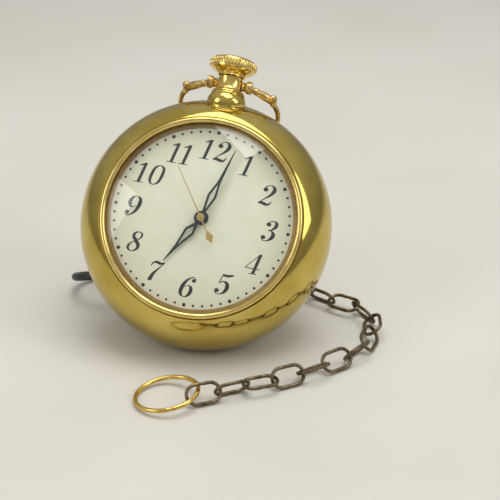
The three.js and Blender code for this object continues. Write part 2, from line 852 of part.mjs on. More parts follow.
// An open lozenge with a solid spear beyond it, pointing along +y, round a hub.
function lozengeHand(length, widest, widestAt, openingEnd, hub, bore) {
  const shape = new THREE.Shape();
  const bar = 1.5;
  const tailHalf = 1.1;
  const neckAt = Math.sqrt(hub ** 2 - tailHalf ** 2);
  const entry = Math.asin(tailHalf / hub);
  shape.moveTo(tailHalf, neckAt);
  shape.lineTo(widest / 2, widestAt);
  shape.lineTo(bar * 0.75, openingEnd);
  shape.lineTo(0.25, length);
  shape.lineTo(-0.25, length);
  shape.lineTo(-bar * 0.75, openingEnd);
  shape.lineTo(-widest / 2, widestAt);
  shape.lineTo(-tailHalf, neckAt);
  shape.absarc(0, 0, hub, Math.PI / 2 + entry, 2.5 * Math.PI - entry, false);
  shape.closePath();
  const inner = new THREE.Path();
  const innerHalf = widest / 2 - bar;
  inner.moveTo(0, neckAt + 2.2);
  inner.lineTo(-innerHalf, widestAt);
  inner.lineTo(0, openingEnd - 1);
  inner.lineTo(innerHalf, widestAt);
  inner.closePath();
  const hole = new THREE.Path();
  hole.absarc(0, 0, bore, 0, 2 * Math.PI, true);
  shape.holes.push(inner, hole);
  return shape;
}

function secondHandShape() {
  const shape = new THREE.Shape();
  const boss = 2.5;
  const half = 0.4;
  const entry = Math.asin(half / boss);
  shape.moveTo(half, Math.sqrt(boss ** 2 - half ** 2));
  shape.lineTo(half * 0.6, 36.2);
  shape.lineTo(-half * 0.6, 36.2);
  shape.lineTo(-half, Math.sqrt(boss ** 2 - half ** 2));
  shape.absarc(0, 0, boss, Math.PI / 2 + entry, 1.5 * Math.PI - entry, false);
  shape.lineTo(-half, -9.5);
  shape.lineTo(-2.5, -14.5);
  shape.lineTo(0, -19);
  shape.lineTo(2.5, -14.5);
  shape.lineTo(half, -9.5);
  shape.absarc(0, 0, boss, 1.5 * Math.PI + entry, 2.5 * Math.PI - entry, false);
  shape.closePath();
  const hole = new THREE.Path();
  hole.absarc(0, 0, arborRadius + gap, 0, 2 * Math.PI, true);
  shape.holes.push(hole);
  return shape;
}

function hand(name, shape, level, angle, material) {
  const mesh = piece(name, flat(shape, level, handThickness, 8), material, dialGroup);
  mesh.rotation.z = -angle * degrees;
}

hand('hour_hand', lozengeHand(36.7, 6.9, 11.3, 23.9, pipeOuter + 1.6, pipeOuter + gap),
  hourHandLevel, hourAngle, blackPaint);
hand('minute_hand', lozengeHand(48.5, 6.1, 15.5, 25.3, cannonOuter + 1.9, cannonOuter + gap),
  minuteHandLevel, minuteAngle, blackPaint);
hand('second_hand', secondHandShape(), secondHandLevel, secondAngle, brightGilt);

// ---------------------------------------------------------------- Chain and end ring

// The middle line of an oval link, from the butt in the middle of one long side round to the butt again.
class OvalPath extends THREE.Curve {
  getPoint(t, target = new THREE.Vector3()) {
    const endRadius = linkWidth / 2 - linkWire;
    const side = linkLength - linkWidth;
    const around = 2 * side + 2 * Math.PI * endRadius;
    const butt = 0.3;
    let along = butt / 2 + t * (around - butt);
    if (along <= side / 2) return target.set(along, -endRadius, 0);
    along -= side / 2;
    if (along <= Math.PI * endRadius) {
      const turn = along / endRadius - Math.PI / 2;
      return target.set(side / 2 + endRadius * Math.cos(turn), endRadius * Math.sin(turn), 0);
    }
    along -= Math.PI * endRadius;
    if (along <= side) return target.set(side / 2 - along, endRadius, 0);
    along -= side;
    if (along <= Math.PI * endRadius) {
      const turn = along / endRadius + Math.PI / 2;
      return target.set(-side / 2 + endRadius * Math.cos(turn), endRadius * Math.sin(turn), 0);
    }
    return target.set(along - Math.PI * endRadius - side / 2, -endRadius, 0);
  }
}

const linkPitch = linkLength - 4 * linkWire - linkSlack;
const bowEnd = new THREE.Vector3(0, bowLength, 0)
  .applyAxisAngle(new THREE.Vector3(1, 0, 0), -bowHang * degrees)
  .add(new THREE.Vector3(0, pivotHeight, pendantLevel))
  .applyMatrix4(clock.matrix);
const firstBend = [10, 76.5, 90.5];
const hook = bowWire + gap - linkSlack / 2;
const chainStart = new THREE.Vector3(...firstBend).sub(bowEnd).setLength(-hook).add(bowEnd).toArray();
const chainRoute = new THREE.CatmullRomCurve3([
  chainStart,
  firstBend,
  [11.5, 87.5, 75],
  [12.5, 89, 45],
  [13.5, 89, 27],
  [19, 86, 13.5],
  [32, 76.5, 7.2],
  [47, 62.5, layHeight],
  [66, 41, layHeight],
  [81, 30, layHeight],
  [97, 22, layHeight],
  [109, 11, layHeight],
  [114, -7, layHeight],
  [111, -28, layHeight],
  [102, -45, layHeight],
  [89, -57, layHeight],
  [74, -70, layHeight],
  [58, -81, layHeight],
  [42, -88, layHeight],
  [25, -97, layHeight],
  [5, -106.5, layHeight],
  [-15, -116, layHeight],
].map((p) => new THREE.Vector3(...p)), false, 'centripetal');

// Points along the route, each one link pitch from the last in a straight line.
function linkJoints() {
  const fine = chainRoute.getSpacedPoints(4000);
  const joints = [fine[0]];
  for (const point of fine) {
    if (point.distanceTo(joints[joints.length - 1]) >= linkPitch) joints.push(point);
  }
  return joints;
}

// Degrees that each link is turned about its own length: the even ones one way, the odd ones the other.
const hangingLinks = 5;
const linkTurn = [
  90, 0, 90, 0, 90, 35, -46, 58, 6, -58, 17,
  -58, 35, -52, 52, -52, 29, -58, 0, 58, -52,
];
const joints = linkJoints();
const linkCount = Math.min(linkTurn.length, joints.length - 1);

function linkMatrix(k) {
  const [from, to] = [joints[k], joints[k + 1]];
  const ahead = to.clone().sub(from).normalize();
  const across = k < hangingLinks
    ? new THREE.Vector3(0, -1, 0).cross(ahead).normalize()
    : new THREE.Vector3(0, 0, 1).cross(ahead).normalize();
  across.applyAxisAngle(ahead, linkTurn[k] * degrees);
  const out = ahead.clone().cross(across);
  return new THREE.Matrix4().makeBasis(ahead, across, out).setPosition(from.clone().lerp(to, 0.5));
}

const linkGeometry = wire(new OvalPath(), linkWire, 6, 12);
for (let k = 0; k < linkCount; k += 1) {
  const link = piece(`chain_link_${String(k + 1).padStart(2, '0')}`, linkGeometry, bronze, table);
  link.applyMatrix4(linkMatrix(k));
}

class RingPath extends THREE.Curve {
  getPoint(t, target = new THREE.Vector3()) {
    const butt = 0.3 / ringRadius;
    const angle = butt / 2 + t * (2 * Math.PI - butt);
    return target.set(-ringRadius * Math.cos(angle), -ringRadius * Math.sin(angle), 0);
  }
}

const lastJoint = joints[linkCount];
const ringMesh = piece('end_ring', wire(new RingPath(), ringWire, 6, 24), brightGilt, table);
ringMesh.position.set(
  lastJoint.x - ringRadius * Math.cos(ringTilt * degrees) + 5,
  lastJoint.y + 5,
  ringWire + ringRadius * Math.sin(ringTilt * degrees) + 0.1,
);
ringMesh.rotation.y = -ringTilt * degrees;

// ---------------------------------------------------------------- Mains lead

const reliefEnd = new THREE.Vector3(0, 0, drumRadius + gap + reliefLength + gap)
  .applyMatrix4(reliefPlace)
  .applyMatrix4(clock.matrix);
const cordHeight = cordRadius + 0.1;
const cordRoute = [
  [reliefEnd.x, reliefEnd.y, reliefEnd.z],
  [-77, 20.2, 22.2],
  [-85, 20.8, 20.6],
  [-92, 24.5, 18],
  [-97, 31, 14.5],
  [-98.6, 39, 11],
  [-97, 47, 7.6],
  [-91.5, 54, 4.8],
  [-84, 58.5, cordHeight],
  [-76, 63, cordHeight],
  [-69, 70, cordHeight],
  [-65, 80, cordHeight],
  [-62.5, 92.5, cordHeight],
  [-59, 106, cordHeight],
];
const cordCurve = new THREE.CatmullRomCurve3(
  cordRoute.map((p) => new THREE.Vector3(...p)),
  false,
  'centripetal',
);
const cordSteps = Math.round(cordCurve.getLength() / (5 * cordRadius));
piece('mains_cord', wire(cordCurve, cordRadius, 8, cordSteps), black, table);

// The bundle of turns, with its edges rounded off.
function cordCoil() {
  const [inner, outer] = [coilRadius - coilHalfWidth, coilRadius + coilHalfWidth];
  const [low, high] = [0.1, coilHeight];
  const ease = cordRadius;
  return turned([
    [inner, low + ease],
    [inner + ease, low],
    [outer - ease, low],
    [outer, low + ease],
    [outer, high - ease],
    [outer - ease, high],
    [inner + ease, high],
    [inner, high - ease],
  ], 24);
}

piece('cord_coil', cordCoil(), black, table).position.set(...coilPlace, 0);

const shoulder = plugLength * 0.7; // from the plug's tail to its widest, which touches the coil

// A two-pin plug with a waisted body, lying on its side with its pins along x.
function plug() {
  const body = turned([
    [0, 0],
    [plugRadius * 0.45, 0],
    [plugRadius * 0.6, plugLength * 0.4],
    [plugRadius, shoulder],
    [plugRadius, plugLength],
    [0, plugLength],
  ], 16);
  body.scale(1, plugFlatness, 1);
  const pins = [1, -1].map((side) => {
    const pin = new THREE.BoxGeometry(1.5, 6.3, pinLength + 1);
    pin.translate((side * pinSpacing) / 2, 0, plugLength + pinLength / 2 - 0.5);
    return pin;
  });
  const geometry = join(body, ...pins);
  geometry.rotateY(90 * degrees);
  geometry.rotateX(90 * degrees);
  return geometry;
}

const plugMesh = piece('plug', plug(), black, table);
const clearOfCoil = coilRadius + coilHalfWidth + gap + plugRadius;
const [plugX, plugY] = polar(Math.sqrt(clearOfCoil ** 2 - shoulder ** 2), plugBearing);
plugMesh.position.set(coilPlace[0] + plugX, coilPlace[1] + plugY, plugRadius * plugFlatness + 0.1);
plugMesh.rotation.z = (plugBearing - 90) * degrees;

// ---------------------------------------------------------------- Origin

// The origin is the middle of the underside of everything but the lead.
part.updateMatrixWorld(true);
const extent = new THREE.Box3();
const lead = ['mains_cord', 'cord_coil', 'plug'];
part.traverse((mesh) => {
  if (mesh.isMesh && !lead.includes(mesh.name)) extent.expandByObject(mesh, true);
});
const middle = extent.getCenter(new THREE.Vector3());
clock.position.sub(new THREE.Vector3(middle.x, middle.y, extent.min.z));
table.position.set(-middle.x, -middle.y, -extent.min.z);
part.updateMatrixWorld(true);

export default part;
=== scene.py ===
# %% [markdown]
# # An oversized pocket-watch clock
# The real object is an electric clock made to look like a huge pocket watch: a deep gilt case that leans
# back, a domed glass over an ivory dial, a crown and hinged bow on top, a chain with a ring on its end,
# and a mains lead behind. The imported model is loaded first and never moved. Everything made here is laid
# over it, in metres.

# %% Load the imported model
import json
import math
import bpy
import bmesh
import numpy as np
from mathutils import Matrix, Vector


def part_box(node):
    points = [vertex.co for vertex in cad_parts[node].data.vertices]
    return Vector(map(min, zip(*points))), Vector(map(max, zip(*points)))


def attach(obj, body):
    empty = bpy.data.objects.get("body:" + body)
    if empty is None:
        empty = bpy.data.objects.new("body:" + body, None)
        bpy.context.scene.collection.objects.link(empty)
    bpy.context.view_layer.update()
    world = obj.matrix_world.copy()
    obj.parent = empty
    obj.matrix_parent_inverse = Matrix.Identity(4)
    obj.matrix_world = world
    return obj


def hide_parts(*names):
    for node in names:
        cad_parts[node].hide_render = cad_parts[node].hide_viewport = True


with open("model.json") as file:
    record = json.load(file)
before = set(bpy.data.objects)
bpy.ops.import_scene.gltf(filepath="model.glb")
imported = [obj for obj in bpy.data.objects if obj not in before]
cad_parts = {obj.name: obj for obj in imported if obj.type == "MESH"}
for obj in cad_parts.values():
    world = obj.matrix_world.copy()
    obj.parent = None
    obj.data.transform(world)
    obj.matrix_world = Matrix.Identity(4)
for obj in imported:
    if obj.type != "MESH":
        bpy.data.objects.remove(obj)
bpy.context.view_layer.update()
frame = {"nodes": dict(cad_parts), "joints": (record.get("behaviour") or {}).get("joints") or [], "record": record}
nodes = frame["nodes"]
joint_at = {j["name"]: Vector(j["pos_m"]) for j in frame["joints"] if "pos_m" in j}

# %% [markdown]
# Two frames are used. The row's frame is the table's: z up, x to the right. The clock's own frame has x
# to 3 o'clock, y to 12 o'clock and z out of the dial, with its centre on the hands' axis. Profiles are
# written in millimetres in the clock's frame, because that is how a case maker would draw them.

# %% The clock's own frame
MM = 0.001
LEAN = math.radians(33.5)
ROLL = math.radians(7.7)
DIAL_TURN = math.radians(0.8)
PENDANT_LEVEL = 14
centre = joint_at["second_hand_turn"]
scale = Matrix.Scale(MM, 4)


def turned(axis, angle):
    return Matrix.Rotation(angle, 4, axis)


clock = Matrix.Translation(centre) @ turned("X", math.pi / 2 - LEAN) @ turned("Z", -ROLL) @ scale
dial = clock @ turned("Z", -DIAL_TURN)
pendant = clock @ Matrix.Translation((0, 0, PENDANT_LEVEL)) @ turned("X", -math.pi / 2)
print("clock centre", tuple(round(v, 4) for v in centre))

# %% [markdown]
# The camera comes before any piece, because the lead's spare length has to lie where the camera doesn't
# see it. A long lens from a little to the right and above keeps the dial nearly round.

# %% Camera
table_shift = Vector((centre.x, centre.y, 0))
camera_data = bpy.data.cameras.new("camera")
camera_data.lens = 108
camera_data.sensor_width = 36
camera_data.clip_start = 0.01
camera_data.dof.use_dof = False
camera = bpy.data.objects.new("camera", camera_data)
bpy.context.scene.collection.objects.link(camera)
camera.location = Vector((0.1097, -0.8996, 0.4968)) + table_shift
camera.rotation_euler = (math.radians(64), 0, math.radians(5.1))
bpy.context.scene.camera = camera
print("camera at", tuple(round(v, 3) for v in camera.location))

# %% [markdown]
# Shader arithmetic reads better as Python expressions. Value wraps a socket, so that a * 0.5 + b adds the
# Math nodes. Finish holds one material and makes every other node from its type, settings and sockets.

# %% A socket that does arithmetic
class Value:
    def __init__(self, finish, socket):
        self.finish, self.socket = finish, socket

    def _math(self, operation, a, b):
        return self.finish.node("ShaderNodeMath", {"operation": operation}, {0: a, 1: b})[0]

    def __add__(self, other): return self._math("ADD", self, other)
    def __radd__(self, other): return self._math("ADD", other, self)
    def __mul__(self, other): return self._math("MULTIPLY", self, other)
    def __rmul__(self, other): return self._math("MULTIPLY", other, self)


class Outputs:
    def __init__(self, finish, node):
        self.finish, self.node = finish, node

    def __getitem__(self, key):
        return Value(self.finish, self.node.outputs[key])


# %% A material under construction
class Finish:
    def __init__(self, name):
        self.material = bpy.data.materials.new(name)
        self.material.use_nodes = True
        self.tree = self.material.node_tree
        self.tree.nodes.clear()
        self.output = self.tree.nodes.new("ShaderNodeOutputMaterial")

    def node(self, kind, settings=None, inputs=None):
        made = self.tree.nodes.new(kind)
        for name, value in (settings or {}).items():
            if name == "stops":
                self.stops(made.color_ramp, value)
            else:
                setattr(made, name, value)
        for key, value in (inputs or {}).items():
            self.feed(made.inputs[key], value)
        return Outputs(self, made)

    def feed(self, socket, value):
        if isinstance(value, Value):
            self.tree.links.new(value.socket, socket)
        else:
            socket.default_value = value

    def stops(self, ramp, stops):
        while len(ramp.elements) < len(stops):
            ramp.elements.new(0.5)
        for element, (position, colour) in zip(ramp.elements, stops):
            element.position = position
            element.color = (*colour, 1)

    def place(self):
        return self.node("ShaderNodeTexCoord")["Object"]

    def noise(self, size, detail=3.0, roughness=0.55, at=None):
        inputs = {"Vector": at or self.place(), "Scale": 1 / size, "Detail": detail, "Roughness": roughness}
        return self.node("ShaderNodeTexNoise", {}, inputs)["Fac"]

    def ramp(self, factor, stops):
        return self.node("ShaderNodeValToRGB", {"stops": stops}, {"Fac": factor})["Color"]

    def span(self, factor, low, high, start=0.0, end=1.0):
        inputs = {"Value": factor, "From Min": start, "From Max": end, "To Min": low, "To Max": high}
        return self.node("ShaderNodeMapRange", {}, inputs)["Result"]

    def mix(self, factor, a, b):
        settings = {"data_type": "RGBA"}
        return self.node("ShaderNodeMix", settings, {0: factor, 6: a, 7: b})[2]

    def bump(self, height, strength, distance):
        inputs = {"Height": height, "Strength": strength, "Distance": distance}
        return self.node("ShaderNodeBump", {}, inputs)["Normal"]

    def surface(self, **sockets):
        inputs = {name.replace("_", " "): value for name, value in sockets.items()}
        shader = self.node("ShaderNodeBsdfPrincipled", {}, inputs)["BSDF"]
        self.feed(self.output.inputs["Surface"], shader)
        return self.material


def srgb(*levels):
    return tuple((v / 255 / 12.92) if v < 10.3 else ((v / 255 + 0.055) / 1.055) ** 2.4 for v in levels)


print("white", srgb(255, 255, 255))

# %% [markdown]
# ## Finishes
# Polished gilt brass is a metal whose colour does the work: yellow in the light, brown where it mirrors
# dark things. Real plating is never even, so broad clouds shift its colour a little and fine wipe marks
# roughen it.

# %% Gilt brass, in several states
def gilt(name, light, dark, low, high, cloud=0.03, scratches=0.15):
    f = Finish(name)
    broad = f.noise(cloud, 4.0, 0.6)
    fine = f.noise(0.0011, 2.0, 0.7)
    stretched = f.node("ShaderNodeMapping", {}, {"Vector": f.place(), "Scale": (1.0, 1.0, 9.0)})["Vector"]
    wiped = f.noise(0.004, 3.0, 0.6, stretched)
    colour = f.ramp(broad, [(0.32, dark), (0.68, light)])
    rough = f.span(broad * 0.45 + wiped * 0.4 + fine * 0.15, low, high, 0.35, 0.65)
    normal = f.bump(wiped * 0.7 + fine * 0.3, scratches, 0.00002)
    return f.surface(Base_Color=colour, Metallic=1.0, Roughness=rough, Normal=normal)


gilt_case = gilt("gilt_case", srgb(208, 187, 104), srgb(184, 160, 76), 0.06, 0.13, 0.03, 0.06)
gilt_bright = gilt("gilt_bright", srgb(236, 212, 138), srgb(212, 184, 104), 0.1, 0.2, 0.012)
gilt_worn = gilt("gilt_worn", srgb(232, 200, 116), srgb(196, 158, 78), 0.14, 0.28, 0.006, 0.3)
print("gilt finishes made")

# %% [markdown]
# The chain and the bow have an antique finish: brass that was blackened and rubbed back, so hollows stay
# dark brown and raised places show the metal. Two noises, one broad and one fine, decide where it was
# rubbed.

# %% Antique brass
def antique(name, rubbed, dark, grain, amount):
    f = Finish(name)
    broad = f.noise(grain * 5, 3.0, 0.6)
    fine = f.noise(grain, 4.0, 0.65)
    wear = f.span(broad * 0.55 + fine * 0.45, 0.0, 1.0, 0.5 - amount, 0.5 + amount)
    colour = f.mix(wear, (*dark, 1), (*rubbed, 1))
    normal = f.bump(fine, 0.35, 0.00008)
    metallic = f.span(wear, 0.75, 1.0)
    rough = f.span(wear, 0.5, 0.27)
    return f.surface(Base_Color=colour, Metallic=metallic, Roughness=rough, Normal=normal)


chain_bronze = antique("chain_bronze", srgb(142, 126, 98), srgb(44, 37, 29), 0.0012, 0.14)
bow_bronze = antique("bow_bronze", srgb(236, 204, 134), srgb(104, 76, 38), 0.003, 0.13)
print("antique finishes made")

# %% [markdown]
# The dial is painted metal, ivory with age: a matt white that has yellowed in soft patches. Towards its
# edge it is darkened further, which is painted shade from the rim that stands over it. The distance from
# the clock's own axis gives the edge, worked out from Object coordinates.

# %% Dial, print and dark ring
def aged_dial():
    f = Finish("dial_ivory")
    inputs = {0: f.place(), 1: tuple(centre)}
    outward = f.node("ShaderNodeVectorMath", {"operation": "DISTANCE"}, inputs)["Value"]
    # Painted shade: the dial darkens towards its edge, where the rim shades it.
    edge = f.span(outward, 0.0, 0.55, 0.045, 0.068)
    patches = f.span(f.noise(0.03, 4.0, 0.6), 0.0, 0.6, 0.4, 0.75)
    specks = f.noise(0.0012, 3.0, 0.7)
    pale = f.mix(patches, (*srgb(214, 215, 194), 1), (*srgb(204, 203, 178), 1))
    colour = f.mix(edge, pale, (*srgb(192, 188, 156), 1))
    colour = f.mix(f.span(specks, 0.0, 0.5, 0.66, 0.8), colour, (*srgb(176, 168, 134), 1))
    rough = f.span(specks, 0.42, 0.58)
    return f.surface(Base_Color=colour, Roughness=rough, Normal=f.bump(specks, 0.08, 0.00003))


def painted(name, colour, lighter, low, high, size=0.002, strength=0.12):
    f = Finish(name)
    grain = f.noise(size, 4.0, 0.6)
    shade = f.mix(f.span(grain, 0.0, 1.0, 0.35, 0.7), (*colour, 1), (*lighter, 1))
    rough = f.span(grain, low, high, 0.3, 0.7)
    return f.surface(Base_Color=shade, Roughness=rough, Normal=f.bump(grain, strength, 0.00004))


dial_ivory = aged_dial()
ink = painted("dial_ink", srgb(9, 9, 9), srgb(20, 20, 19), 0.35, 0.5, 0.0008)
hand_black = painted("hand_black", srgb(16, 16, 17), srgb(30, 30, 31), 0.22, 0.36, 0.001)
lead_rubber = painted("lead_rubber", srgb(17, 17, 18), srgb(30, 30, 31), 0.3, 0.5, 0.0015, 0.2)
black_moulding = painted("black_moulding", srgb(15, 14, 14), srgb(28, 27, 27), 0.18, 0.34, 0.003, 0.1)
winding_tape = painted("winding_tape", srgb(150, 96, 46), srgb(112, 66, 30), 0.5, 0.7, 0.002, 0.3)
# The reveal ring's brown is painted shade and a painted reflection of the dial, not its own colour.
reveal_painted_shade = antique("reveal_painted_shade", srgb(178, 148, 90), srgb(112, 86, 48), 0.004, 0.3)
print("paint, print and rubber made")

# %% [markdown]
# The domed glass has to let lamps reach the dial, which refraction in a path tracer blocks. A Mix Shader
# gives shadow rays a Transparent shader instead, while the camera still sees clear, glossy glass.

# %% Glass, steel, brass and laminated iron
def clear_glass():
    f = Finish("clear_glass")
    smear = f.noise(0.02, 3.0, 0.6)
    inputs = {"Base Color": (0.985, 0.99, 0.98, 1), "Transmission Weight": 1.0, "IOR": 1.45,
              "Roughness": f.span(smear, 0.0, 0.03, 0.45, 0.8)}
    glass = f.node("ShaderNodeBsdfPrincipled", {}, inputs)["BSDF"]
    open_air = f.node("ShaderNodeBsdfTransparent")["BSDF"]
    lamps = f.node("ShaderNodeLightPath")["Is Shadow Ray"]
    either = f.node("ShaderNodeMixShader", {}, {0: lamps, 1: glass, 2: open_air})[0]
    f.feed(f.output.inputs["Surface"], either)
    return f.material


def brushed(name, light, dark, low, high, lines=(1.0, 1.0, 14.0)):
    f = Finish(name)
    stretched = f.node("ShaderNodeMapping", {}, {"Vector": f.place(), "Scale": lines})["Vector"]
    grain = f.noise(0.003, 4.0, 0.7, stretched)
    colour = f.mix(f.span(grain, 0.0, 1.0, 0.3, 0.7), (*dark, 1), (*light, 1))
    rough = f.span(grain, low, high, 0.3, 0.7)
    return f.surface(Base_Color=colour, Metallic=1.0, Roughness=rough, Normal=f.bump(grain, 0.15, 0.00003))


glass = clear_glass()
steel = brushed("steel", srgb(196, 196, 198), srgb(150, 151, 154), 0.22, 0.42)
plate_brass = brushed("plate_brass", srgb(222, 192, 120), srgb(182, 150, 84), 0.25, 0.45)
laminated_iron = brushed("laminated_iron", srgb(112, 112, 116), srgb(62, 62, 66), 0.4, 0.65, (1.0, 1.0, 40.0))
print("glass and bare metals made")

# %% [markdown]
# ## Making pieces
# Most of the clock is turned work, so the first helper spins a profile of (radius, height) points into a
# closed mesh. `keep` turns a finished mesh into a piece: smooth shaded but with crisp corners, riding on
# its body.

# %% Turned work
def turn(profile, sides=128):
    mesh = bmesh.new()
    rings = []
    for radius, height in profile:
        if radius < 1e-6:
            rings.append([mesh.verts.new((0, 0, height))])
        else:
            steps = [2 * math.pi * k / sides for k in range(sides)]
            ring = [(radius * math.cos(a), radius * math.sin(a), height) for a in steps]
            rings.append([mesh.verts.new(place) for place in ring])
    open_ended = len(rings[0]) > 1 and len(rings[-1]) > 1
    pairs = list(zip(rings, rings[1:])) + ([(rings[-1], rings[0])] if open_ended else [])
    for one, two in pairs:
        for k in range(sides):
            n = (k + 1) % sides
            corners = [one[k % len(one)], one[n % len(one)], two[n % len(two)], two[k % len(two)]]
            unique = list(dict.fromkeys(corners))
            if len(unique) > 2:
                mesh.faces.new(unique)
    bmesh.ops.recalc_face_normals(mesh, faces=mesh.faces)
    return mesh


def arc(cx, cy, rx, ry, start, end, steps):
    angles = [math.radians(start + (end - start) * k / steps) for k in range(steps + 1)]
    return [(cx + rx * math.cos(a), cy + ry * math.sin(a)) for a in angles]


print("a turned ring of", len(turn([(1, 0), (2, 0), (2, 1)], 32).faces), "faces")

# %% Finished pieces
def keep(name, mesh, placing, material, body, slot, *stands_for, crease=35):
    data = mesh
    if isinstance(mesh, bmesh.types.BMesh):
        data = bpy.data.meshes.new(name)
        mesh.to_mesh(data)
        mesh.free()
    if placing is not None:
        data.transform(placing)
    data.materials.clear()
    data.materials.append(material)
    data.shade_smooth()
    data.set_sharp_from_angle(angle=math.radians(crease))
    piece = bpy.data.objects.new(name, data)
    bpy.context.scene.collection.objects.link(piece)
    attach(piece, body)
    if stands_for:
        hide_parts(*stands_for)
    print(name, len(data.polygons), "faces on", body)
    return piece


def joined(*parts):
    whole = bmesh.new()
    for part, placing in parts:
        data = bpy.data.meshes.new("part")
        part.to_mesh(data)
        part.free()
        data.transform(placing)
        whole.from_mesh(data)
        bpy.data.meshes.remove(data)
    return whole


def drilled(mesh, *tools):
    base = bpy.data.meshes.new("base")
    mesh.to_mesh(base)
    mesh.free()
    whole = bpy.data.objects.new("base", base)
    bpy.context.scene.collection.objects.link(whole)
    cutters = []
    for tool, placing in tools:
        data = bpy.data.meshes.new("tool")
        tool.to_mesh(data)
        tool.free()
        data.transform(placing)
        cutter = bpy.data.objects.new("tool", data)
        bpy.context.scene.collection.objects.link(cutter)
        cut = whole.modifiers.new("cut", "BOOLEAN")
        cut.operation, cut.solver, cut.object = "DIFFERENCE", "EXACT", cutter
        cutters.append(cutter)
    evaluated = whole.evaluated_get(bpy.context.evaluated_depsgraph_get())
    result = bpy.data.meshes.new_from_object(evaluated)
    for leftover in [whole, *cutters]:
        bpy.data.objects.remove(leftover)
    return result


# %% [markdown]
# Repeated things come from Geometry Nodes. The first tree sets copies of a template round an axis: it
# takes the mesh that it is put on, places one copy on each point of a circle and turns each to face
# outwards. The template is drawn once, at the origin, and the tree leaves real faces because it ends in
# Realize Instances.

# %% Copies round an axis
def copies_tree():
    tree = bpy.data.node_groups.new("copies_round_axis", "GeometryNodeTree")
    tree.interface.new_socket("Template", in_out="INPUT", socket_type="NodeSocketGeometry")
    tree.interface.new_socket("Count", in_out="INPUT", socket_type="NodeSocketInt")
    tree.interface.new_socket("Radius", in_out="INPUT", socket_type="NodeSocketFloat")
    tree.interface.new_socket("Leave Out Every", in_out="INPUT", socket_type="NodeSocketInt")
    tree.interface.new_socket("Material", in_out="INPUT", socket_type="NodeSocketMaterial")
    tree.interface.new_socket("Geometry", in_out="OUTPUT", socket_type="NodeSocketGeometry")
    add, link = tree.nodes.new, tree.links.new
    given, out = add("NodeGroupInput"), add("NodeGroupOutput")
    circle = add("GeometryNodeMeshCircle")
    link(given.outputs["Count"], circle.inputs["Vertices"])
    link(given.outputs["Radius"], circle.inputs["Radius"])

    def maths(operation, *values):
        made = add("ShaderNodeMath")
        made.operation = operation
        for slot, value in zip(made.inputs, values):
            if isinstance(value, float):
                slot.default_value = value
            else:
                link(value, slot)
        return made.outputs[0]

    index, every = add("GeometryNodeInputIndex").outputs[0], given.outputs["Leave Out Every"]
    kept = maths("GREATER_THAN", maths("MODULO", index, every), 0.5)
    wanted = maths("MAXIMUM", kept, maths("LESS_THAN", every, 1.5))
    angle = maths("MULTIPLY", maths("DIVIDE", index, given.outputs["Count"]), 2 * math.pi)
    facing = add("ShaderNodeCombineXYZ")
    link(angle, facing.inputs["Z"])
    place = add("GeometryNodeInstanceOnPoints")
    link(circle.outputs["Mesh"], place.inputs["Points"])
    link(given.outputs["Template"], place.inputs["Instance"])
    link(wanted, place.inputs["Selection"])
    link(facing.outputs[0], place.inputs["Rotation"])
    real = add("GeometryNodeRealizeInstances")
    link(place.outputs["Instances"], real.inputs["Geometry"])
    paint = add("GeometryNodeSetMaterial")
    link(real.outputs["Geometry"], paint.inputs["Geometry"])
    link(given.outputs["Material"], paint.inputs["Material"])
    link(paint.outputs["Geometry"], out.inputs["Geometry"])
    return tree


def run_tree(tree, data, **values):
    holder = bpy.data.objects.new("holder", data)
    bpy.context.scene.collection.objects.link(holder)
    modifier = holder.modifiers.new("nodes", "NODES")
    modifier.node_group = tree
    items = [item for item in tree.interface.items_tree if item.item_type == "SOCKET"]
    sockets = {item.name: item.identifier for item in items if item.in_out == "INPUT"}
    for name, value in values.items():
        modifier[sockets[name.replace("_", " ")]] = value
    bpy.context.view_layer.update()
    evaluated = holder.evaluated_get(bpy.context.evaluated_depsgraph_get())
    result = bpy.data.meshes.new_from_object(evaluated)
    bpy.data.objects.remove(holder)
    return result


copies_round_axis = copies_tree()


def copies(template, count, radius, material, leave_out=0):
    data = bpy.data.meshes.new("template")
    template.to_mesh(data)
    template.free()
    return run_tree(copies_round_axis, data, Count=count, Radius=float(radius), Material=material,
                    Leave_Out_Every=leave_out)


print("copies tree has", len(copies_round_axis.nodes), "nodes")

# %% [markdown]
# The second tree turns a line into a round wire, for the chain, the end ring, the bow and the lead. The
# line's vertices may carry a `swell` attribute, which makes the wire thicker or thinner along its length.

# %% Round wire along a line
def wire_tree():
    tree = bpy.data.node_groups.new("round_wire", "GeometryNodeTree")
    tree.interface.new_socket("Line", in_out="INPUT", socket_type="NodeSocketGeometry")
    tree.interface.new_socket("Radius", in_out="INPUT", socket_type="NodeSocketFloat")
    tree.interface.new_socket("Sides", in_out="INPUT", socket_type="NodeSocketInt")
    tree.interface.new_socket("Material", in_out="INPUT", socket_type="NodeSocketMaterial")
    tree.interface.new_socket("Geometry", in_out="OUTPUT", socket_type="NodeSocketGeometry")
    add, link = tree.nodes.new, tree.links.new
    given, out = add("NodeGroupInput"), add("NodeGroupOutput")
    curve = add("GeometryNodeMeshToCurve")
    link(given.outputs["Line"], curve.inputs["Mesh"])
    swell = add("GeometryNodeInputNamedAttribute")
    swell.data_type = "FLOAT"
    swell.inputs["Name"].default_value = "swell"
    section = add("GeometryNodeCurvePrimitiveCircle")
    link(given.outputs["Sides"], section.inputs["Resolution"])
    link(given.outputs["Radius"], section.inputs["Radius"])
    swept = add("GeometryNodeCurveToMesh")
    link(curve.outputs["Curve"], swept.inputs["Curve"])
    link(section.outputs["Curve"], swept.inputs["Profile Curve"])
    swept.inputs["Fill Caps"].default_value = True
    link(swell.outputs["Attribute"], swept.inputs["Scale"])
    real = add("GeometryNodeRealizeInstances")
    link(swept.outputs["Mesh"], real.inputs["Geometry"])
    paint = add("GeometryNodeSetMaterial")
    link(real.outputs["Geometry"], paint.inputs["Geometry"])
    link(given.outputs["Material"], paint.inputs["Material"])
    link(paint.outputs["Geometry"], out.inputs["Geometry"])
    return tree


round_wire = wire_tree()


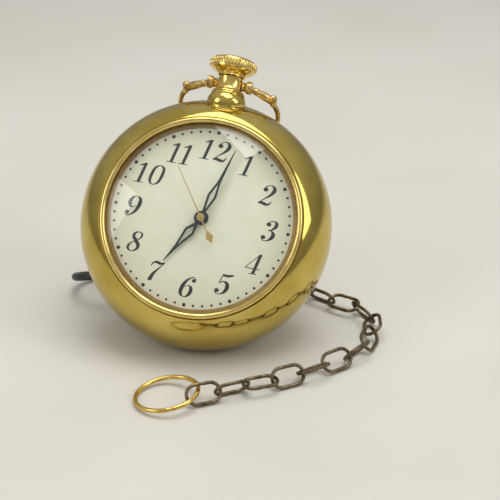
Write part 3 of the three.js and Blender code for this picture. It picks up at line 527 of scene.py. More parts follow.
def wire(points, radius, sides, material, closed=False, swell=None):
    data = bpy.data.meshes.new("line")
    edges = [(k, k + 1) for k in range(len(points) - 1)] + ([(len(points) - 1, 0)] if closed else [])
    data.from_pydata([tuple(p) for p in points], edges, [])
    thickness = data.attributes.new("swell", "FLOAT", "POINT")
    thickness.data.foreach_set("value", swell or [1.0] * len(points))
    result = run_tree(round_wire, data, Radius=float(radius), Sides=sides, Material=material)
    mesh = bmesh.new()
    mesh.from_mesh(result)
    bmesh.ops.remove_doubles(mesh, verts=mesh.verts, dist=1e-7)
    bmesh.ops.recalc_face_normals(mesh, faces=mesh.faces)
    bpy.data.meshes.remove(result)
    return mesh


def smooth_line(points, steps=8):
    given = [Vector(p) for p in points]
    given = [2 * given[0] - given[1], *given, 2 * given[-1] - given[-2]]
    line = []
    for a, b, c, d in zip(given, given[1:], given[2:], given[3:]):
        for k in range(steps):
            t = k / steps
            line.append(0.5 * (2 * b + (c - a) * t + (2 * a - 5 * b + 4 * c - d) * t * t
                               + (3 * b - a - 3 * c + d) * t ** 3))
    return line + [given[-2]]


print("wire tree has", len(round_wire.nodes), "nodes")

# %% [markdown]
# ## The mains lead
# It is a round rubber lead, 5.4 mm thick and about 1.8 m long. It leaves the drum through a tapered strain
# relief, bends round to the back and is put away in a flat coil behind the clock, four turns side by side
# and two deep. The camera can't see the coil, and the plug lies against it.

# %% The lead's route
LEAD_RADIUS = 2.7
on_table = Matrix.Translation((table_shift.x, table_shift.y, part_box("motor_drum")[0].z)) @ scale
DRUM_RADIUS, RELIEF_LENGTH, RELIEF_LEVEL, RELIEF_CLOCK_ANGLE = 50, 25, -45, 240
GAP = 0.3
relief_turn = turned("Z", math.radians(90 - RELIEF_CLOCK_ANGLE)) @ turned("Y", math.pi / 2)
relief = clock @ Matrix.Translation((0, 0, RELIEF_LEVEL)) @ relief_turn
RELIEF_FOOT = DRUM_RADIUS + GAP
relief_end = on_table.inverted() @ relief @ Vector((0, 0, RELIEF_FOOT + RELIEF_LENGTH + GAP))
CLEAR = 0.1
LOW = LEAD_RADIUS + CLEAR
route = [tuple(relief_end), (-77, 20.2, 22.2), (-85, 20.8, 20.6), (-92, 24.5, 18), (-97, 31, 14.5),
         (-98.6, 39, 11), (-97, 47, 7.6), (-91.5, 54, 4.8), (-84, 58.5, LOW), (-76, 63, LOW),
         (-69, 70, LOW), (-65, 80, LOW),
         (-62.5, 92.5, LOW), (-59, 106, LOW)]
COIL_CENTRE, COIL_RADIUS, COIL_HALF_WIDTH = (-22, 128), 30, 11.1
COIL_START, COIL_TURNS = 210.7, 8.53
ROW = 2 * LEAD_RADIUS
LAYER_RISE = ROW - 0.05
ROWS = [COIL_RADIUS + ROW * k for k in (1.5, 0.5, -0.5, -1.5)]

# Each stop is a count of turns, a radius and a layer: 0 is on the table and 1 is on top.
stops = [(0.0, 43.0, 0), (0.22, ROWS[0], 0), (0.9, ROWS[0], 0)]
for k in (1, 2, 3):
    stops += [(k + 0.1, ROWS[k], 0), (k + (0.9 if k < 3 else 0.88), ROWS[k], 0)]
stops += [(4.12, ROWS[3], 1), (4.9, ROWS[3], 1)]
for k in (2, 1, 0):
    stops += [(7.1 - k, ROWS[k], 1), (7.9 - k if k else 8.3, ROWS[k], 1)]
stops += [(COIL_TURNS, 49.7, 1)]


def coil_point(t):
    for (t0, r0, l0), (t1, r1, l1) in zip(stops, stops[1:]):
        if t <= t1:
            s = (t - t0) / (t1 - t0)
            s = s * s * (3 - 2 * s)
            break
    radius, layer = r0 + (r1 - r0) * s, l0 + (l1 - l0) * s
    angle = math.radians(COIL_START - 360 * t)
    x, y = COIL_CENTRE[0] + radius * math.cos(angle), COIL_CENTRE[1] + radius * math.sin(angle)
    return (x, y, LOW + layer * LAYER_RISE)


COIL_POINTS = 220
coil = [coil_point(COIL_TURNS * k / COIL_POINTS) for k in range(1, COIL_POINTS + 1)]
lead_line = [on_table @ p for p in smooth_line(route + coil[3:5], 6)[:-6]]
lead_line += [on_table @ Vector(p) for p in coil[4:]]
lead_length = sum((b - a).length for a, b in zip(lead_line, lead_line[1:]))
print("lead is", round(lead_length, 3), "m long with", len(lead_line), "points")

# %% [markdown]
# ## The plug
# A small moulded plug: a body that swells from the lead to a flat front with two flat blades. The packed
# plug already has that shape, so a finer body is turned over it and flattened, and the blades are
# bevelled boxes.

# %% Plug
PLUG_LENGTH, PLUG_RADIUS, PLUG_FLATNESS, PLUG_SHOULDER = 26, 11.5, 0.7, 0.7
BLADE, BLADE_SPACING = (1.5, 6.3, 16), 12.7
bearing = math.radians(20)
widest = COIL_RADIUS + COIL_HALF_WIDTH + GAP + PLUG_RADIUS
tail_distance = math.sqrt(widest ** 2 - (PLUG_LENGTH * PLUG_SHOULDER) ** 2)
tail_x = COIL_CENTRE[0] + tail_distance * math.cos(bearing)
tail_y = COIL_CENTRE[1] + tail_distance * math.sin(bearing)
lying = turned("Z", bearing - math.pi / 2) @ turned("X", math.pi / 2) @ turned("Y", math.pi / 2)
plug_place = on_table @ Matrix.Translation((tail_x, tail_y, PLUG_RADIUS * PLUG_FLATNESS + CLEAR)) @ lying
plug_profile = [(0, 0), (4.4, 0), (5.0, 0.5), (5.2, 3), (5.6, 6), (6.9, 10.4), (9.2, 14), (11.0, 17.2),
                (PLUG_RADIUS, 19.4), (PLUG_RADIUS, 24.6), (11.1, 25.6), (10.2, PLUG_LENGTH), (0, PLUG_LENGTH)]
flat_body = turn(plug_profile, 64)
bmesh.ops.scale(flat_body, vec=(1, PLUG_FLATNESS, 1), verts=flat_body.verts)


def blade(side):
    mesh = bmesh.new()
    middle = Matrix.Translation((side * BLADE_SPACING / 2, 0, PLUG_LENGTH + BLADE[2] / 2))
    bmesh.ops.create_cube(mesh, size=1, matrix=middle @ Matrix.Diagonal((*BLADE, 1)))
    bmesh.ops.bevel(mesh, geom=mesh.edges[:], offset=0.45, segments=2, affect="EDGES", profile=0.5)
    return mesh


plug_body = keep("plug_body", flat_body, plug_place, black_moulding, "case", "black_moulding", "plug")
two_blades = joined((blade(-1), Matrix()), (blade(1), Matrix()))
plug_blades = keep("plug_blades", two_blades, plug_place, plate_brass, "case", "black_moulding")

# %% [markdown]
# The lead itself is one wire along the route.

# %% The lead
lead = wire(lead_line, LEAD_RADIUS * MM, 14, lead_rubber)
lead_piece = keep("mains_lead", lead, None, lead_rubber, "case", "black_rubber", "mains_cord", "cord_coil",
                  crease=60)
tuple(on_table @ relief_end)

# %% [markdown]
# The strain relief is a rubber cone with grooves cut round it, so that the lead bends gently where it
# leaves. A turned profile with five grooves is all it needs.

# %% Strain relief
GROOVES, GROOVE_PITCH, GROOVE_DEPTH, TAPER = 5, 3.9, 0.9, 0.42
boot = [(0, 46), (6.0, 46), (6.0, 47.6), (4.4, 47.6), (4.4, RELIEF_FOOT), (5.8, RELIEF_FOOT), (5.6, 52.8)]
for k in range(GROOVES):
    base = 54.2 + GROOVE_PITCH * k
    radius = 5.4 - TAPER * k
    boot += [(radius, base), (radius - GROOVE_DEPTH, base + 0.7), (radius - GROOVE_DEPTH, base + 1.9),
             (radius - 0.2, base + 2.6)]
boot_tip = RELIEF_FOOT + RELIEF_LENGTH
boot += [(3.3, boot_tip - 0.4), (3.0, boot_tip), (0, boot_tip)]
keep("strain_relief_boot", turn(boot, 48), relief, lead_rubber, "case", "black_rubber", "strain_relief")

# %% [markdown]
# ## The case
# The front shell is a fat rounded rim: in section a half ellipse 30 mm across and 36 mm deep. Near the
# glass it turns down into a lip that holds the bead. Both shells are turned from profiles with many
# points, because a polished surface shows every flat.

# %% Front and back shells
CORE, SWELL, FRONT, BACK = 54, 30, 36, 25
WALL, SEAM = 1.2, -2.0
OPENING = 66.3


def rim(angle, inside=0.0):
    depth = FRONT if angle >= 0 else BACK
    a = math.radians(angle)
    return (CORE + (SWELL - inside) * math.cos(a), (depth - inside) * math.sin(a))


def rim_arc(start, end, steps, inside=0.0):
    return [rim(start + (end - start) * k / steps, inside) for k in range(steps + 1)]


def seam_angle(level, inside):
    return math.degrees(math.asin(level / (BACK - inside)))


lip_angle = math.degrees(math.acos((OPENING + 0.5 - CORE) / SWELL))
front = rim_arc(seam_angle(SEAM, 0) + 0.6, lip_angle, 56)
lip_top = rim(lip_angle)[1]
front += arc(OPENING + 0.5, lip_top - 0.5, 0.5, 0.5, 100, 180, 4)
front += [(OPENING, 27.0), (61.0, 27.0), (61.0, 25.8), (67.5, 25.8)]
front += rim_arc(math.degrees(math.acos((67.5 - CORE) / (SWELL - WALL))), seam_angle(SEAM, WALL), 30, WALL)
front += [(rim(seam_angle(SEAM, 0))[0] - 0.3, SEAM)]
keep("case_front", turn(front, 192), clock, gilt_case, "case", "gilt_case", "front_case")

back_from = SEAM - 0.4
BACK_OPENING = 46
back = rim_arc(seam_angle(back_from, 0) - 0.6, -90, 44)
back += [(BACK_OPENING, -BACK), (BACK_OPENING, -BACK + WALL)]
back += rim_arc(-90, seam_angle(back_from, 2.7), 20, 2.7)[1:]
back += [(rim(0, 2.7)[0], back_from + 6), (rim(0, 1.8)[0], back_from + 6), (rim(0, 1.8)[0], back_from)]
back += [(rim(seam_angle(back_from, 0))[0] - 0.3, back_from)]
keep("case_back", turn(back, 192), clock, gilt_case, "case", "gilt_case", "back_case")

# %% [markdown]
# The bead is a bright half-round ring pressed into the lip, with a fine groove each side. The glass is a
# dome of even thickness, the cap of a large sphere. Below it a sloping ring frames the dial; its brown
# colour is painted shade and a painted reflection of the dial.

# %% Bead, glass and the ring that frames the dial
BEAD_IN, BEAD = 62.4, 3.6
bead = arc(BEAD_IN + BEAD / 2, 33.4, BEAD / 2, BEAD / 2 + 0.2, 180, 0, 24)
bead += [(BEAD_IN + BEAD, 28.3), (64.2, 28.3), (64.2, 32.4), (BEAD_IN, 32.4)]
keep("bead_ring", turn(bead, 192), clock, gilt_bright, "case", "bright_gilt", "glass_bead_ring")

GLASS_RADIUS, GLASS_EDGE, RISE, THICK = 63.9, 31.6, 9.2, 2.0
sphere = (GLASS_RADIUS ** 2 + RISE ** 2) / (2 * RISE)


def dome(radius, level):
    return level + RISE - sphere + math.sqrt(sphere ** 2 - radius ** 2)


radii = [GLASS_RADIUS * k / 28 for k in range(29)]
glass_profile = [(r, dome(r, GLASS_EDGE)) for r in radii]
glass_profile += [(r, dome(r, GLASS_EDGE - THICK)) for r in reversed(radii)]
keep("crystal", turn(glass_profile, 160), clock, glass, "case", "clear_glass", "domed_glass")

reveal = [(59.3, 28.3), (59.3, 28.7), (60.2, 28.95), (63.4, 29.3), (63.6, 29.3), (63.6, 28.3)]
# Painted shade and reflection: the ring is coloured brown for the dark band at the dial's edge.
keep("dial_reveal", turn(reveal, 160), clock, reveal_painted_shade, "case", "dark_reveal", "dial_frame_ring")
plate = [(4.2, 27.2), (63, 27.2), (63, 27.9), (62.9, 28.0), (4.3, 28.0), (4.2, 27.9)]
keep("dial_plate", turn(plate, 160), dial, dial_ivory, "case", "printed_dial", "dial")

# %% [markdown]
# ## The dial's print
# Sixty dots mark the minutes, twelve of them larger. They are thin discs from the copies tree: one run
# leaves out every fifth dot and a second run puts the large ones there. Print has almost no height, so
# they stand only a twentieth of a millimetre above the dial.

# %% Minute dots
DOT_CIRCLE, PRINT_LEVEL, PRINT = 57.0, 28.01, 0.05


def disc(radius, sides=14):
    return turn([(0, 0), (radius, 0), (radius, PRINT), (0, PRINT)], sides)


at_print = dial @ Matrix.Translation((0, 0, PRINT_LEVEL))
small = copies(disc(0.82), 60, DOT_CIRCLE, ink, leave_out=5)
large = copies(disc(1.2, 20), 12, DOT_CIRCLE, ink)
keep("minute_dots", small, at_print, ink, "case", "black_paint")
keep("hour_dots", large, at_print, ink, "case", "black_paint")

# %% [markdown]
# The numerals are bold italic figures in the old book style: thick upright strokes, hair-thin joins and
# round ends. Each figure is a few pen strokes, given as points with a width, and `stroke` fills the shape
# between the pen's two edges. Slanting every point a little makes them italic.

# %% Figures as pen strokes
STEM, HAIR = 0.16, 0.045
FIGURES = {
    "0": [[(0.3, 0.98, HAIR), (0.13, 0.84, 0.13), (0.09, 0.5, STEM), (0.13, 0.16, 0.13), (0.3, 0.02, HAIR),
           (0.47, 0.16, 0.13), (0.51, 0.5, STEM), (0.47, 0.84, 0.13), (0.3, 0.98, HAIR)]],
    "1": [[(0.3, 0.02, STEM), (0.3, 0.97, STEM)], [(0.08, 0.82, HAIR), (0.2, 0.88, 0.1), (0.32, 0.97, 0.06)],
          [(0.1, 0.025, 0.05), (0.5, 0.025, 0.05)]],
    "2": [[(0.13, 0.76, 0.2), (0.14, 0.74, 0.16)], [(0.07, 0.8, HAIR), (0.14, 0.92, 0.06), (0.3, 0.98, 0.06),
           (0.44, 0.88, 0.15), (0.48, 0.72, 0.21), (0.4, 0.52, 0.15), (0.22, 0.3, 0.07), (0.07, 0.1, 0.05)],
          [(0.05, 0.08, 0.1), (0.18, 0.12, 0.16), (0.34, 0.07, 0.17), (0.48, 0.08, 0.12),
           (0.55, 0.24, 0.04)]],
    "3": [[(0.14, 0.8, 0.19), (0.15, 0.79, 0.15)], [(0.08, 0.84, HAIR), (0.16, 0.94, 0.05), (0.3, 0.98, 0.06),
           (0.43, 0.88, 0.16), (0.43, 0.7, 0.18), (0.32, 0.56, 0.07), (0.2, 0.53, HAIR)],
          [(0.2, 0.53, HAIR), (0.36, 0.5, 0.08), (0.47, 0.36, 0.19), (0.46, 0.18, 0.2), (0.32, 0.03, 0.07),
           (0.17, 0.02, 0.05), (0.08, 0.12, HAIR)], [(0.13, 0.17, 0.19), (0.14, 0.18, 0.15)]],
    "4": [[(0.41, 0.02, STEM), (0.41, 0.98, STEM)],
          [(0.4, 0.97, 0.06), (0.2, 0.62, 0.045), (0.02, 0.29, 0.05)],
          [(0.01, 0.27, 0.05), (0.6, 0.27, 0.05)], [(0.26, 0.025, 0.05), (0.56, 0.025, 0.05)]],
    "5": [[(0.14, 0.93, 0.1), (0.28, 0.9, 0.15), (0.48, 0.95, 0.12), (0.53, 1.0, 0.05)],
          [(0.13, 0.97, 0.05), (0.1, 0.52, 0.05)], [(0.1, 0.53, HAIR), (0.24, 0.62, 0.07), (0.4, 0.56, 0.15),
           (0.48, 0.36, 0.21), (0.44, 0.14, 0.17), (0.3, 0.02, 0.06), (0.16, 0.02, 0.05), (0.07, 0.12, HAIR)],
          [(0.13, 0.17, 0.19), (0.14, 0.18, 0.15)]],
    "6": [[(0.44, 0.83, 0.17), (0.45, 0.82, 0.13)], [(0.5, 0.88, HAIR), (0.4, 0.98, 0.05), (0.26, 0.92, 0.09),
           (0.13, 0.7, 0.17), (0.09, 0.4, 0.2), (0.14, 0.14, 0.15), (0.3, 0.02, 0.05), (0.44, 0.1, 0.15),
           (0.49, 0.3, 0.2), (0.43, 0.5, 0.14), (0.31, 0.57, 0.05), (0.18, 0.48, 0.04)]],
    "7": [[(0.06, 0.72, HAIR), (0.08, 0.86, 0.08), (0.2, 0.94, 0.15), (0.38, 0.89, 0.15), (0.52, 0.95, 0.08)],
          [(0.54, 0.98, 0.05), (0.42, 0.72, 0.07), (0.27, 0.4, 0.15), (0.23, 0.12, 0.21),
           (0.24, 0.04, 0.19)]],
    "8": [[(0.3, 0.98, HAIR), (0.16, 0.9, 0.12), (0.15, 0.73, 0.15), (0.3, 0.55, 0.17), (0.46, 0.36, 0.18),
           (0.47, 0.16, 0.15), (0.3, 0.02, 0.05), (0.13, 0.12, 0.12), (0.1, 0.28, 0.12), (0.18, 0.44, 0.07),
           (0.34, 0.58, 0.06), (0.45, 0.73, 0.1), (0.43, 0.9, 0.09), (0.3, 0.98, HAIR)]],
}
FIGURES["9"] = [[(0.6 - x, 1.0 - y, w) for x, y, w in stroke] for stroke in FIGURES["6"]]


def stroke(points, slant=0.2):
    dense = smooth_line([Vector(p) for p in points], 7)
    left, right = [], []
    for k, p in enumerate(dense):
        ahead = dense[min(k + 1, len(dense) - 1)] - dense[max(k - 1, 0)]
        side = Vector((-ahead.y, ahead.x)).normalized() * max(p.z * 0.78, 0.032) / 2
        left.append((p.x + side.x + slant * (p.y + side.y), p.y + side.y))
        right.append((p.x - side.x + slant * (p.y - side.y), p.y - side.y))
    mesh = bmesh.new()
    low = [[mesh.verts.new((x, y, 0)) for x, y in edge] for edge in (left, right)]
    high = [[mesh.verts.new((x, y, PRINT)) for x, y in edge] for edge in (left, right)]
    for k in range(len(dense) - 1):
        mesh.faces.new((low[0][k], low[0][k + 1], low[1][k + 1], low[1][k]))
        mesh.faces.new((high[0][k], high[1][k], high[1][k + 1], high[0][k + 1]))
        mesh.faces.new((low[0][k], high[0][k], high[0][k + 1], low[0][k + 1]))
        mesh.faces.new((low[1][k], low[1][k + 1], high[1][k + 1], high[1][k]))
    for k in (0, -1):
        mesh.faces.new((low[0][k], low[1][k], high[1][k], high[0][k]))
    bmesh.ops.recalc_face_normals(mesh, faces=mesh.faces)
    return mesh


def ball(x, y, width, slant=0.2):
    mesh = disc(1.0, 20)
    return mesh, Matrix.Translation((x + slant * y, y, 0)) @ Matrix.Diagonal((width / 2, width / 2, 1, 1))


# %% Numerals one to twelve
NUMERAL_CIRCLE, NUMERAL_HEIGHT, NUMERAL_WIDTH = 45.3, 13.8, 16.2
parts = []
for hour in range(1, 13):
    text = str(hour)
    advance = 0.6 if hour != 11 else 0.48
    width = advance * len(text)
    angle = math.radians(90 - 30 * hour)
    middle = Vector((NUMERAL_CIRCLE * math.cos(angle), NUMERAL_CIRCLE * math.sin(angle), 0))
    for k, figure in enumerate(text):
        shift = Matrix.Translation((k * advance - width / 2 - 0.1, -0.5, 0))
        size = Matrix.Diagonal((NUMERAL_WIDTH, NUMERAL_HEIGHT, 1, 1))
        for pen in FIGURES[figure]:
            place = Matrix.Translation(middle) @ size @ shift
            if len(pen) == 2 and pen[0][2] > 0.12 and abs(pen[0][1] - pen[1][1]) < 0.05:
                mesh, where = ball(*pen[0])
                parts.append((mesh, place @ where))
            else:
                parts.append((stroke(pen), place))
numerals = joined(*parts)
keep("numerals", numerals, at_print, ink, "case", "black_paint")

# %% [markdown]
# ## Crown, neck and collar
# The collar is a plain cone that stands on the rim, and the neck a slim post. The crown flares out to a
# fluted band under a low dome. Its flutes are forty-four small half-round bars from the copies tree.

# %% Collar and neck
collar = [(2.7, 69), (12.6, 69), (12.6, 76.2), (12.9, 76.6), (12.5, 77.0)]
collar += arc(2.0, 80.2, 11.2, 9.5, -16, 34, 16) + arc(11.0, 85.8, 0.6, 1.2, 10, 90, 5) + [(2.7, 87)]
rim_solid = turn([(0, -BACK - 0.05), *rim_arc(-90, 90, 48, -0.05), (0, FRONT + 0.05)], 128)
collar_mesh = drilled(joined((turn(collar, 96), pendant)), (rim_solid, clock))
keep("collar", collar_mesh, None, gilt_case, "case", "gilt_case", "pendant_collar")
neck = [(2.7, 87.3), (10.5, 87.3), (10.8, 87.7), (10.6, 88.2), (9.6, 88.6), (8.8, 89.4), (8.35, 91),
        (8.2, 93), (8.2, 97.2), (8.4, 97.7), (8.2, 98), (2.7, 98)]
keep("neck", turn(neck, 64), pendant, gilt_bright, "case", "bright_gilt", "pendant_neck")

# %% Crown with its flutes
RIM_LOW, RIM_HIGH, CROWN_RADIUS = 104.2, 108.5, 15.9
crown = [(0, 70), (2.4, 70), (2.4, 98.3), (8.8, 98.3), (9.2, 98.7), (9.1, 99.3), (9.6, 100.0),
         (10.8, 101.0), (12.6, 101.8), (14.2, 102.7), (15.0, 103.5), (15.1, RIM_LOW),
         (CROWN_RADIUS - 0.7, RIM_LOW + 0.2),
         (CROWN_RADIUS - 0.7, RIM_HIGH - 0.2), (15.1, RIM_HIGH), (14.6, 108.9)]
crown += arc(0, 108.9, 14.6, 3.1, 6, 90, 18)
crown[-1] = (0, 112)
keep("crown_body", turn(crown, 96), pendant, gilt_bright, "case", "bright_gilt", "winding_crown")
rib = turn([(0, 0), (0.55, 0.25), (0.75, 0.7), (0.75, 3.6), (0.55, 4.05), (0, 4.3)], 10)
flutes = copies(rib, 44, CROWN_RADIUS - 0.75, gilt_bright)
band = pendant @ Matrix.Translation((0, 0, RIM_LOW))
keep("crown_flutes", flutes, band, gilt_bright, "case", "bright_gilt")

# %% [markdown]
# ## The bow
# The bow hangs from two ribbed bosses on the neck. Its wire swells into leaf-like scrolls near the eyes
# and carries small rings along its arms, so the line's `swell` follows those ornaments.

# %% Ribbed bosses
PIVOT, EYE_IN, EYE_THICK = 93.3, 11.4, 3.6
pivot = clock @ Matrix.Translation((0, PIVOT, PENDANT_LEVEL))
boss = [(0, 8.5)]
for k in range(2):
    base = 8.5 + 1.3 * k
    boss += [(2.5, base), (3.2, base + 0.25), (3.5, base + 0.65), (3.2, base + 1.05), (2.5, base + 1.25)]
boss += [(1.8, 11.1), (1.8, 13.7), (0, 13.7)]
for side, node in ((1, "bow_pin_right"), (-1, "bow_pin_left")):
    sideways = pivot @ turned("Y", side * math.pi / 2)
    keep(node.replace("pin", "boss"), turn(boss, 40), sideways, gilt_bright, "case", "bright_gilt", node)

# %% Bow
HANG = math.radians(122)
bow_frame = pivot @ turned("X", -HANG)
WIDE, LONG = 33.5, 60
EYE = EYE_IN + EYE_THICK / 2
half = [(EYE, 0.3), (WIDE * 0.52, 2.2), (WIDE * 0.77, 6.8), (WIDE * 0.92, 13), (WIDE, LONG * 0.36),
        (WIDE * 0.97, LONG * 0.56), (WIDE * 0.82, LONG * 0.75), (WIDE * 0.52, LONG * 0.92)]
right, left = [(x, y, 0) for x, y in half], [(-x, y, 0) for x, y in reversed(half)]
bow_line = smooth_line([*right, (0, LONG, 0), *left], 22)
walked, total = [0.0], 0.0
for a, b in zip(bow_line, bow_line[1:]):
    total += (b - a).length
    walked.append(total)
swell = []
for s in walked:
    from_eye = min(s, total - s)
    leaf = 0.42 * math.exp(-((from_eye - 12) / 5) ** 2)
    rings = sum(0.22 * math.exp(-((from_eye - at) / 0.8) ** 2) for at in (5.0, 20.5))
    slimmer = 0.12 * min(1, max(0, (from_eye - 16) / 10))
    swell.append(0.93 + leaf + rings - slimmer)
eyes = [(turn([(2.15, -1.7), (3.9, -1.8), (4.2, -1.5), (4.2, 1.5), (3.9, 1.8), (2.15, 1.7)], 40),
         Matrix.Translation((side * EYE, 0, 0)) @ turned("Y", math.pi / 2))
        for side in (1, -1)]
SCROLL, SCROLL_AT, FLATTENED = 2.9, (29.4, 6.6), Matrix.Diagonal((1, 1, 0.9, 1))
scrolls = [(turn(arc(0, 0, SCROLL, SCROLL, -90, 90, 12), 24),
            Matrix.Translation((side * SCROLL_AT[0], SCROLL_AT[1], 0)) @ FLATTENED) for side in (1, -1)]
bow_mesh = joined((wire(bow_line, 2.1, 20, bow_bronze, swell=swell), Matrix()), *eyes, *scrolls)
keep("bow_wire", bow_mesh, bow_frame, bow_bronze, "bow", "bright_gilt", "bow")

# %% [markdown]
# ## Chain and ring
# Every link is an oval of 2.5 mm wire with its butt joint on one long side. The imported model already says
# where each link lies, so its own corners give the oval's centre and directions: the longest spread is
# its length and the shortest is the way it faces.

# %% Where a node lies
def spread(node):
    mesh = nodes[node].data
    points = np.empty(len(mesh.vertices) * 3)
    mesh.vertices.foreach_get("co", points)
    points = np.unique(np.round(points.reshape(-1, 3), 6), axis=0)
    middle = points.mean(axis=0)
    axes = np.linalg.svd(points - middle, full_matrices=False)[2]
    along = (points - middle) @ axes.T
    middle = middle + ((along.max(axis=0) + along.min(axis=0)) / 2) @ axes
    x, y = Vector(axes[0]), Vector(axes[1])
    basis = Matrix((x, y, x.cross(y))).transposed().to_4x4()
    return Matrix.Translation(Vector(middle)) @ basis @ scale, (along.max(axis=0) - along.min(axis=0)) / MM


print("first link measures", spread("chain_link_01")[1].round(2))

# %% Links
LINK_LENGTH, LINK_WIDTH, WIRE, LINKS = 24.7, 15, 1.25, 21
bodies = frame["record"]["behaviour"]["bodies"]
body_of_node = {node: body for body, members in bodies.items() for node in members}
bend, straight = LINK_WIDTH / 2 - WIRE, (LINK_LENGTH - LINK_WIDTH) / 2
along = [straight * (1 - k / 4) for k in range(9)]
bends = [math.pi * k / 14 for k in range(1, 14)]
oval = [(x, -bend, 0) for x in reversed(along)]
oval += [(straight + bend * math.sin(a), -bend * math.cos(a), 0) for a in bends]
oval += [(x, bend, 0) for x in along]
oval += [(-straight - bend * math.sin(a), bend * math.cos(a), 0) for a in bends]
pinch = [1.0] * len(oval)
pinch[4] = 0.8
pinch[3] = pinch[5] = 1.03
link_template = bpy.data.meshes.new("link")
link_mesh = wire(oval, 0.95 * WIRE, 12, chain_bronze, closed=True, swell=pinch)
link_mesh.to_mesh(link_template)
link_mesh.free()
for number in range(1, LINKS + 1):
    node = f"chain_link_{number:02d}"
    keep(f"link_{number:02d}", link_template.copy(), spread(node)[0], chain_bronze, body_of_node[node],
         "bronze_chain", node, crease=60)

# %% End ring
RING = 20.05
ring_place = spread("end_ring")[0]
RING_POINTS = 96
round_ring = [2 * math.pi * k / RING_POINTS for k in range(RING_POINTS)]
ring_line = [(RING * math.cos(a), RING * math.sin(a), 0) for a in round_ring]
ring_swell = [1.0] * RING_POINTS
ring_swell[20] = 0.82
keep("split_ring", wire(ring_line, 1.45, 16, gilt_worn, closed=True, swell=ring_swell), ring_place, gilt_worn,
     "end_ring", "bright_gilt", "end_ring", crease=60)

# %% [markdown]
# ## The drum, its screws and the knob
# The drum behind the case holds the motor. It is a plain cup whose corners are rolled over, drilled for
# three screws, the setting arbor and the lead. The screws are turned heads with a slot cut across, set by
# the copies tree, and the knob has a ribbed grip.

# %% Drum
drum_back = -((clock.inverted() @ joint_at["second_hand_turn"]).z + 57.806)
FRONT_EDGE = -BACK - 0.3
SKIN, SHEET, SCREW_CIRCLE = 0.15, 1.2, DRUM_RADIUS - 9
inside, floor_level = DRUM_RADIUS - SHEET, drum_back + SHEET
cup = [(0, drum_back), (DRUM_RADIUS - 1.6, drum_back)]
cup += arc(inside - SKIN, floor_level, SHEET, SHEET, -90, 0, 6)
cup += [(DRUM_RADIUS - SKIN, FRONT_EDGE), (inside, FRONT_EDGE), (inside, floor_level), (0, floor_level)]
knob_x, knob_y = 15 * math.cos(math.radians(150)) - 15, 15 * math.sin(math.radians(150))


def bore(radius, x, y):
    low, high = drum_back - 2, drum_back + 5
    return turn([(0, low), (radius, low), (radius, high), (0, high)], 32), Matrix.Translation((x, y, 0))


screw_turns = [math.radians(a) for a in (90, 210, 330)]
screw_spots = [(SCREW_CIRCLE * math.cos(a), SCREW_CIRCLE * math.sin(a)) for a in screw_turns]
lead_hole = (turn([(0, 44), (4.7, 44), (4.7, 54), (0, 54)], 32), clock.inverted() @ relief)
holes = [bore(1.8, x, y) for x, y in screw_spots] + [bore(1.7, knob_x, knob_y), lead_hole]
keep("drum", drilled(turn(cup, 144), *holes), clock, gilt_case, "case", "gilt_case", "motor_drum")

# %% Screws and knob
HEAD, SHANK, SLOT_TURN = 1.6, 8.4, 0.6
head = [(0, -HEAD), (0.8, -HEAD), (2.4, -1.35), (3.0, -0.9), (3.2, -0.3), (3.2, 0), (1.5, 0), (1.5, SHANK),
        (0, SHANK)]
slot_cut = bmesh.new()
bmesh.ops.create_cube(slot_cut, size=1, matrix=Matrix.Diagonal((8, 0.9, 1.8, 1)))
screw = bmesh.new()
at_slot = Matrix.Translation((0, 0, -HEAD)) @ turned("Z", SLOT_TURN)
screw.from_mesh(drilled(turn(head, 32), (slot_cut, at_slot)))
screws = copies(screw, 3, SCREW_CIRCLE, steel)
screw_place = clock @ Matrix.Translation((0, 0, drum_back - 0.05)) @ turned("Z", math.pi / 2)
screw_nodes = [f"drum_screw_{number}" for number in (1, 2, 3)]
keep("drum_screws", screws, screw_place, steel, "case", "steel", *screw_nodes)

knob_front = drum_back - 1
KNOB_BORE, KNOB_RADIUS, bore_end = 1.7, 6.5, drum_back - 3.3
knob_profile = [(KNOB_BORE, knob_front), (6.0, knob_front), (KNOB_RADIUS, knob_front - 0.4),
                (KNOB_RADIUS, knob_front - 8.0), (6.0, knob_front - 8.8), (4.8, knob_front - 9),
                (4.2, knob_front - 8.5), (0, knob_front - 8.4), (0, bore_end), (KNOB_BORE, bore_end)]
knob_place = clock @ Matrix.Translation((knob_x, knob_y, 0))
keep("knob", turn(knob_profile, 48), knob_place, black_moulding, "setting", "black_moulding", "setting_knob")
grip = turn([(0, 0), (0.35, 0.2), (0.5, 0.6), (0.5, 6.6), (0.35, 7.0), (0, 7.2)], 8)
grip_place = knob_place @ Matrix.Translation((0, 0, knob_front - 8))
ridges = copies(grip, 28, KNOB_RADIUS, black_moulding)
keep("knob_grip", ridges, grip_place, black_moulding, "setting", "black_moulding")

# %% [markdown]
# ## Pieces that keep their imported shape
# The hands and the movement are already the right shape. They only need their finishes: black paint on
# the hour and minute hands, polished gilt on the seconds hand, and brass, steel and iron inside.

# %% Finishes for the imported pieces
finishes = {"hour_hand": hand_black, "minute_hand": hand_black, "second_hand": gilt_bright,
            "field_coil": winding_tape, "field_core": laminated_iron, "rotor_disc": laminated_iron}
for node in ("back_plate", "front_plate", "intermediate_wheel", "centre_wheel", "minute_wheel", "hour_wheel"):
    finishes[node] = plate_brass
finishes["seconds_arbor"] = gilt_bright
for node in ("cannon_pinion", "setting_arbor", "rotor_can", "motor_pinion"):
    finishes[node] = steel
for node, material in finishes.items():
    nodes[node].data.materials.clear()
    nodes[node].data.materials.append(material)
print("finishes on", len(finishes), "packed pieces")

# %% [markdown]
# ## Floor and light
# A wide pale sheet of paper lies under the clock. Large soft lamps above and to the sides give long
# highlights on the polished rim, and a dim world keeps the shadows open.

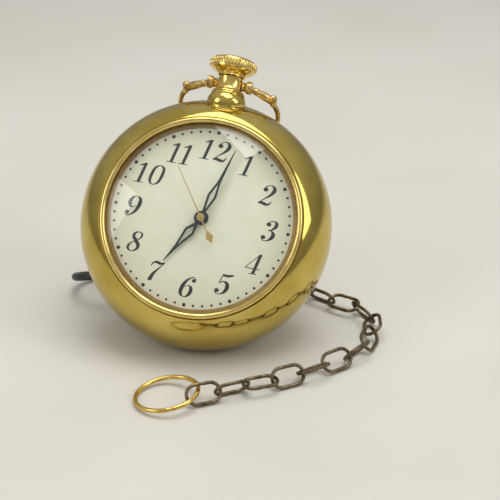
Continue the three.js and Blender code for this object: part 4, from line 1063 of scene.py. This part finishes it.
# %% Floor, lamps and world
def paper():
    f = Finish("pale_paper")
    soft = f.noise(0.25, 2.0, 0.5)
    colour = f.mix(f.span(soft, 0.0, 1.0, 0.3, 0.7), (*srgb(214, 212, 204), 1), (*srgb(206, 203, 194), 1))
    return f.surface(Base_Color=colour, Roughness=0.9)


sheet = bmesh.new()
bmesh.ops.create_grid(sheet, x_segments=8, y_segments=8, size=6, matrix=Matrix.Translation((0, 0, -0.0003)))
sheet_data = bpy.data.meshes.new("paper_floor")
sheet.to_mesh(sheet_data)
sheet.free()
sheet_data.materials.append(paper())
floor = bpy.data.objects.new("paper_floor", sheet_data)
bpy.context.scene.collection.objects.link(floor)


def lamp(name, at, towards, size, power, colour=(1, 1, 1)):
    data = bpy.data.lights.new(name, "AREA")
    data.shape, data.size, data.size_y, data.energy, data.color = "RECTANGLE", size[0], size[1], power, colour
    light = bpy.data.objects.new(name, data)
    bpy.context.scene.collection.objects.link(light)
    light.location = at
    light.rotation_euler = (Vector(towards) - Vector(at)).to_track_quat("-Z", "Y").to_euler()


lamp("lamp_above", (0.1, 0.1, 1.3), (0, 0, 0.05), (1.1, 0.8), 9.5, (1.0, 0.99, 0.97))
lamp("lamp_left", (-1.2, -0.7, 0.8), (0, 0, 0.08), (0.7, 0.9), 4.5, (1.0, 0.99, 0.97))
lamp("lamp_right", (1.3, -0.4, 0.9), (0, 0, 0.08), (0.6, 0.9), 4.5, (1.0, 0.99, 0.97))
world = bpy.data.worlds.new("room")
world.use_nodes = True
air = world.node_tree
where = air.nodes.new("ShaderNodeTexCoord")
split = air.nodes.new("ShaderNodeSeparateXYZ")
sky = air.nodes.new("ShaderNodeValToRGB")
air.links.new(where.outputs["Generated"], split.inputs["Vector"])
air.links.new(split.outputs["Z"], sky.inputs["Fac"])
ramp_ends = ((0.05, (0.62, 0.61, 0.58, 1)), (0.75, (1.15, 1.15, 1.13, 1)))
for element, (position, colour) in zip(sky.color_ramp.elements, ramp_ends):
    element.position, element.color = position, colour
air.links.new(sky.outputs["Color"], air.nodes["Background"].inputs["Color"])
world.node_tree.nodes["Background"].inputs["Strength"].default_value = 0.5
bpy.context.scene.world = world
bpy.context.scene.view_settings.view_transform = "Standard"

# %% The end
bpy.context.view_layer.update()
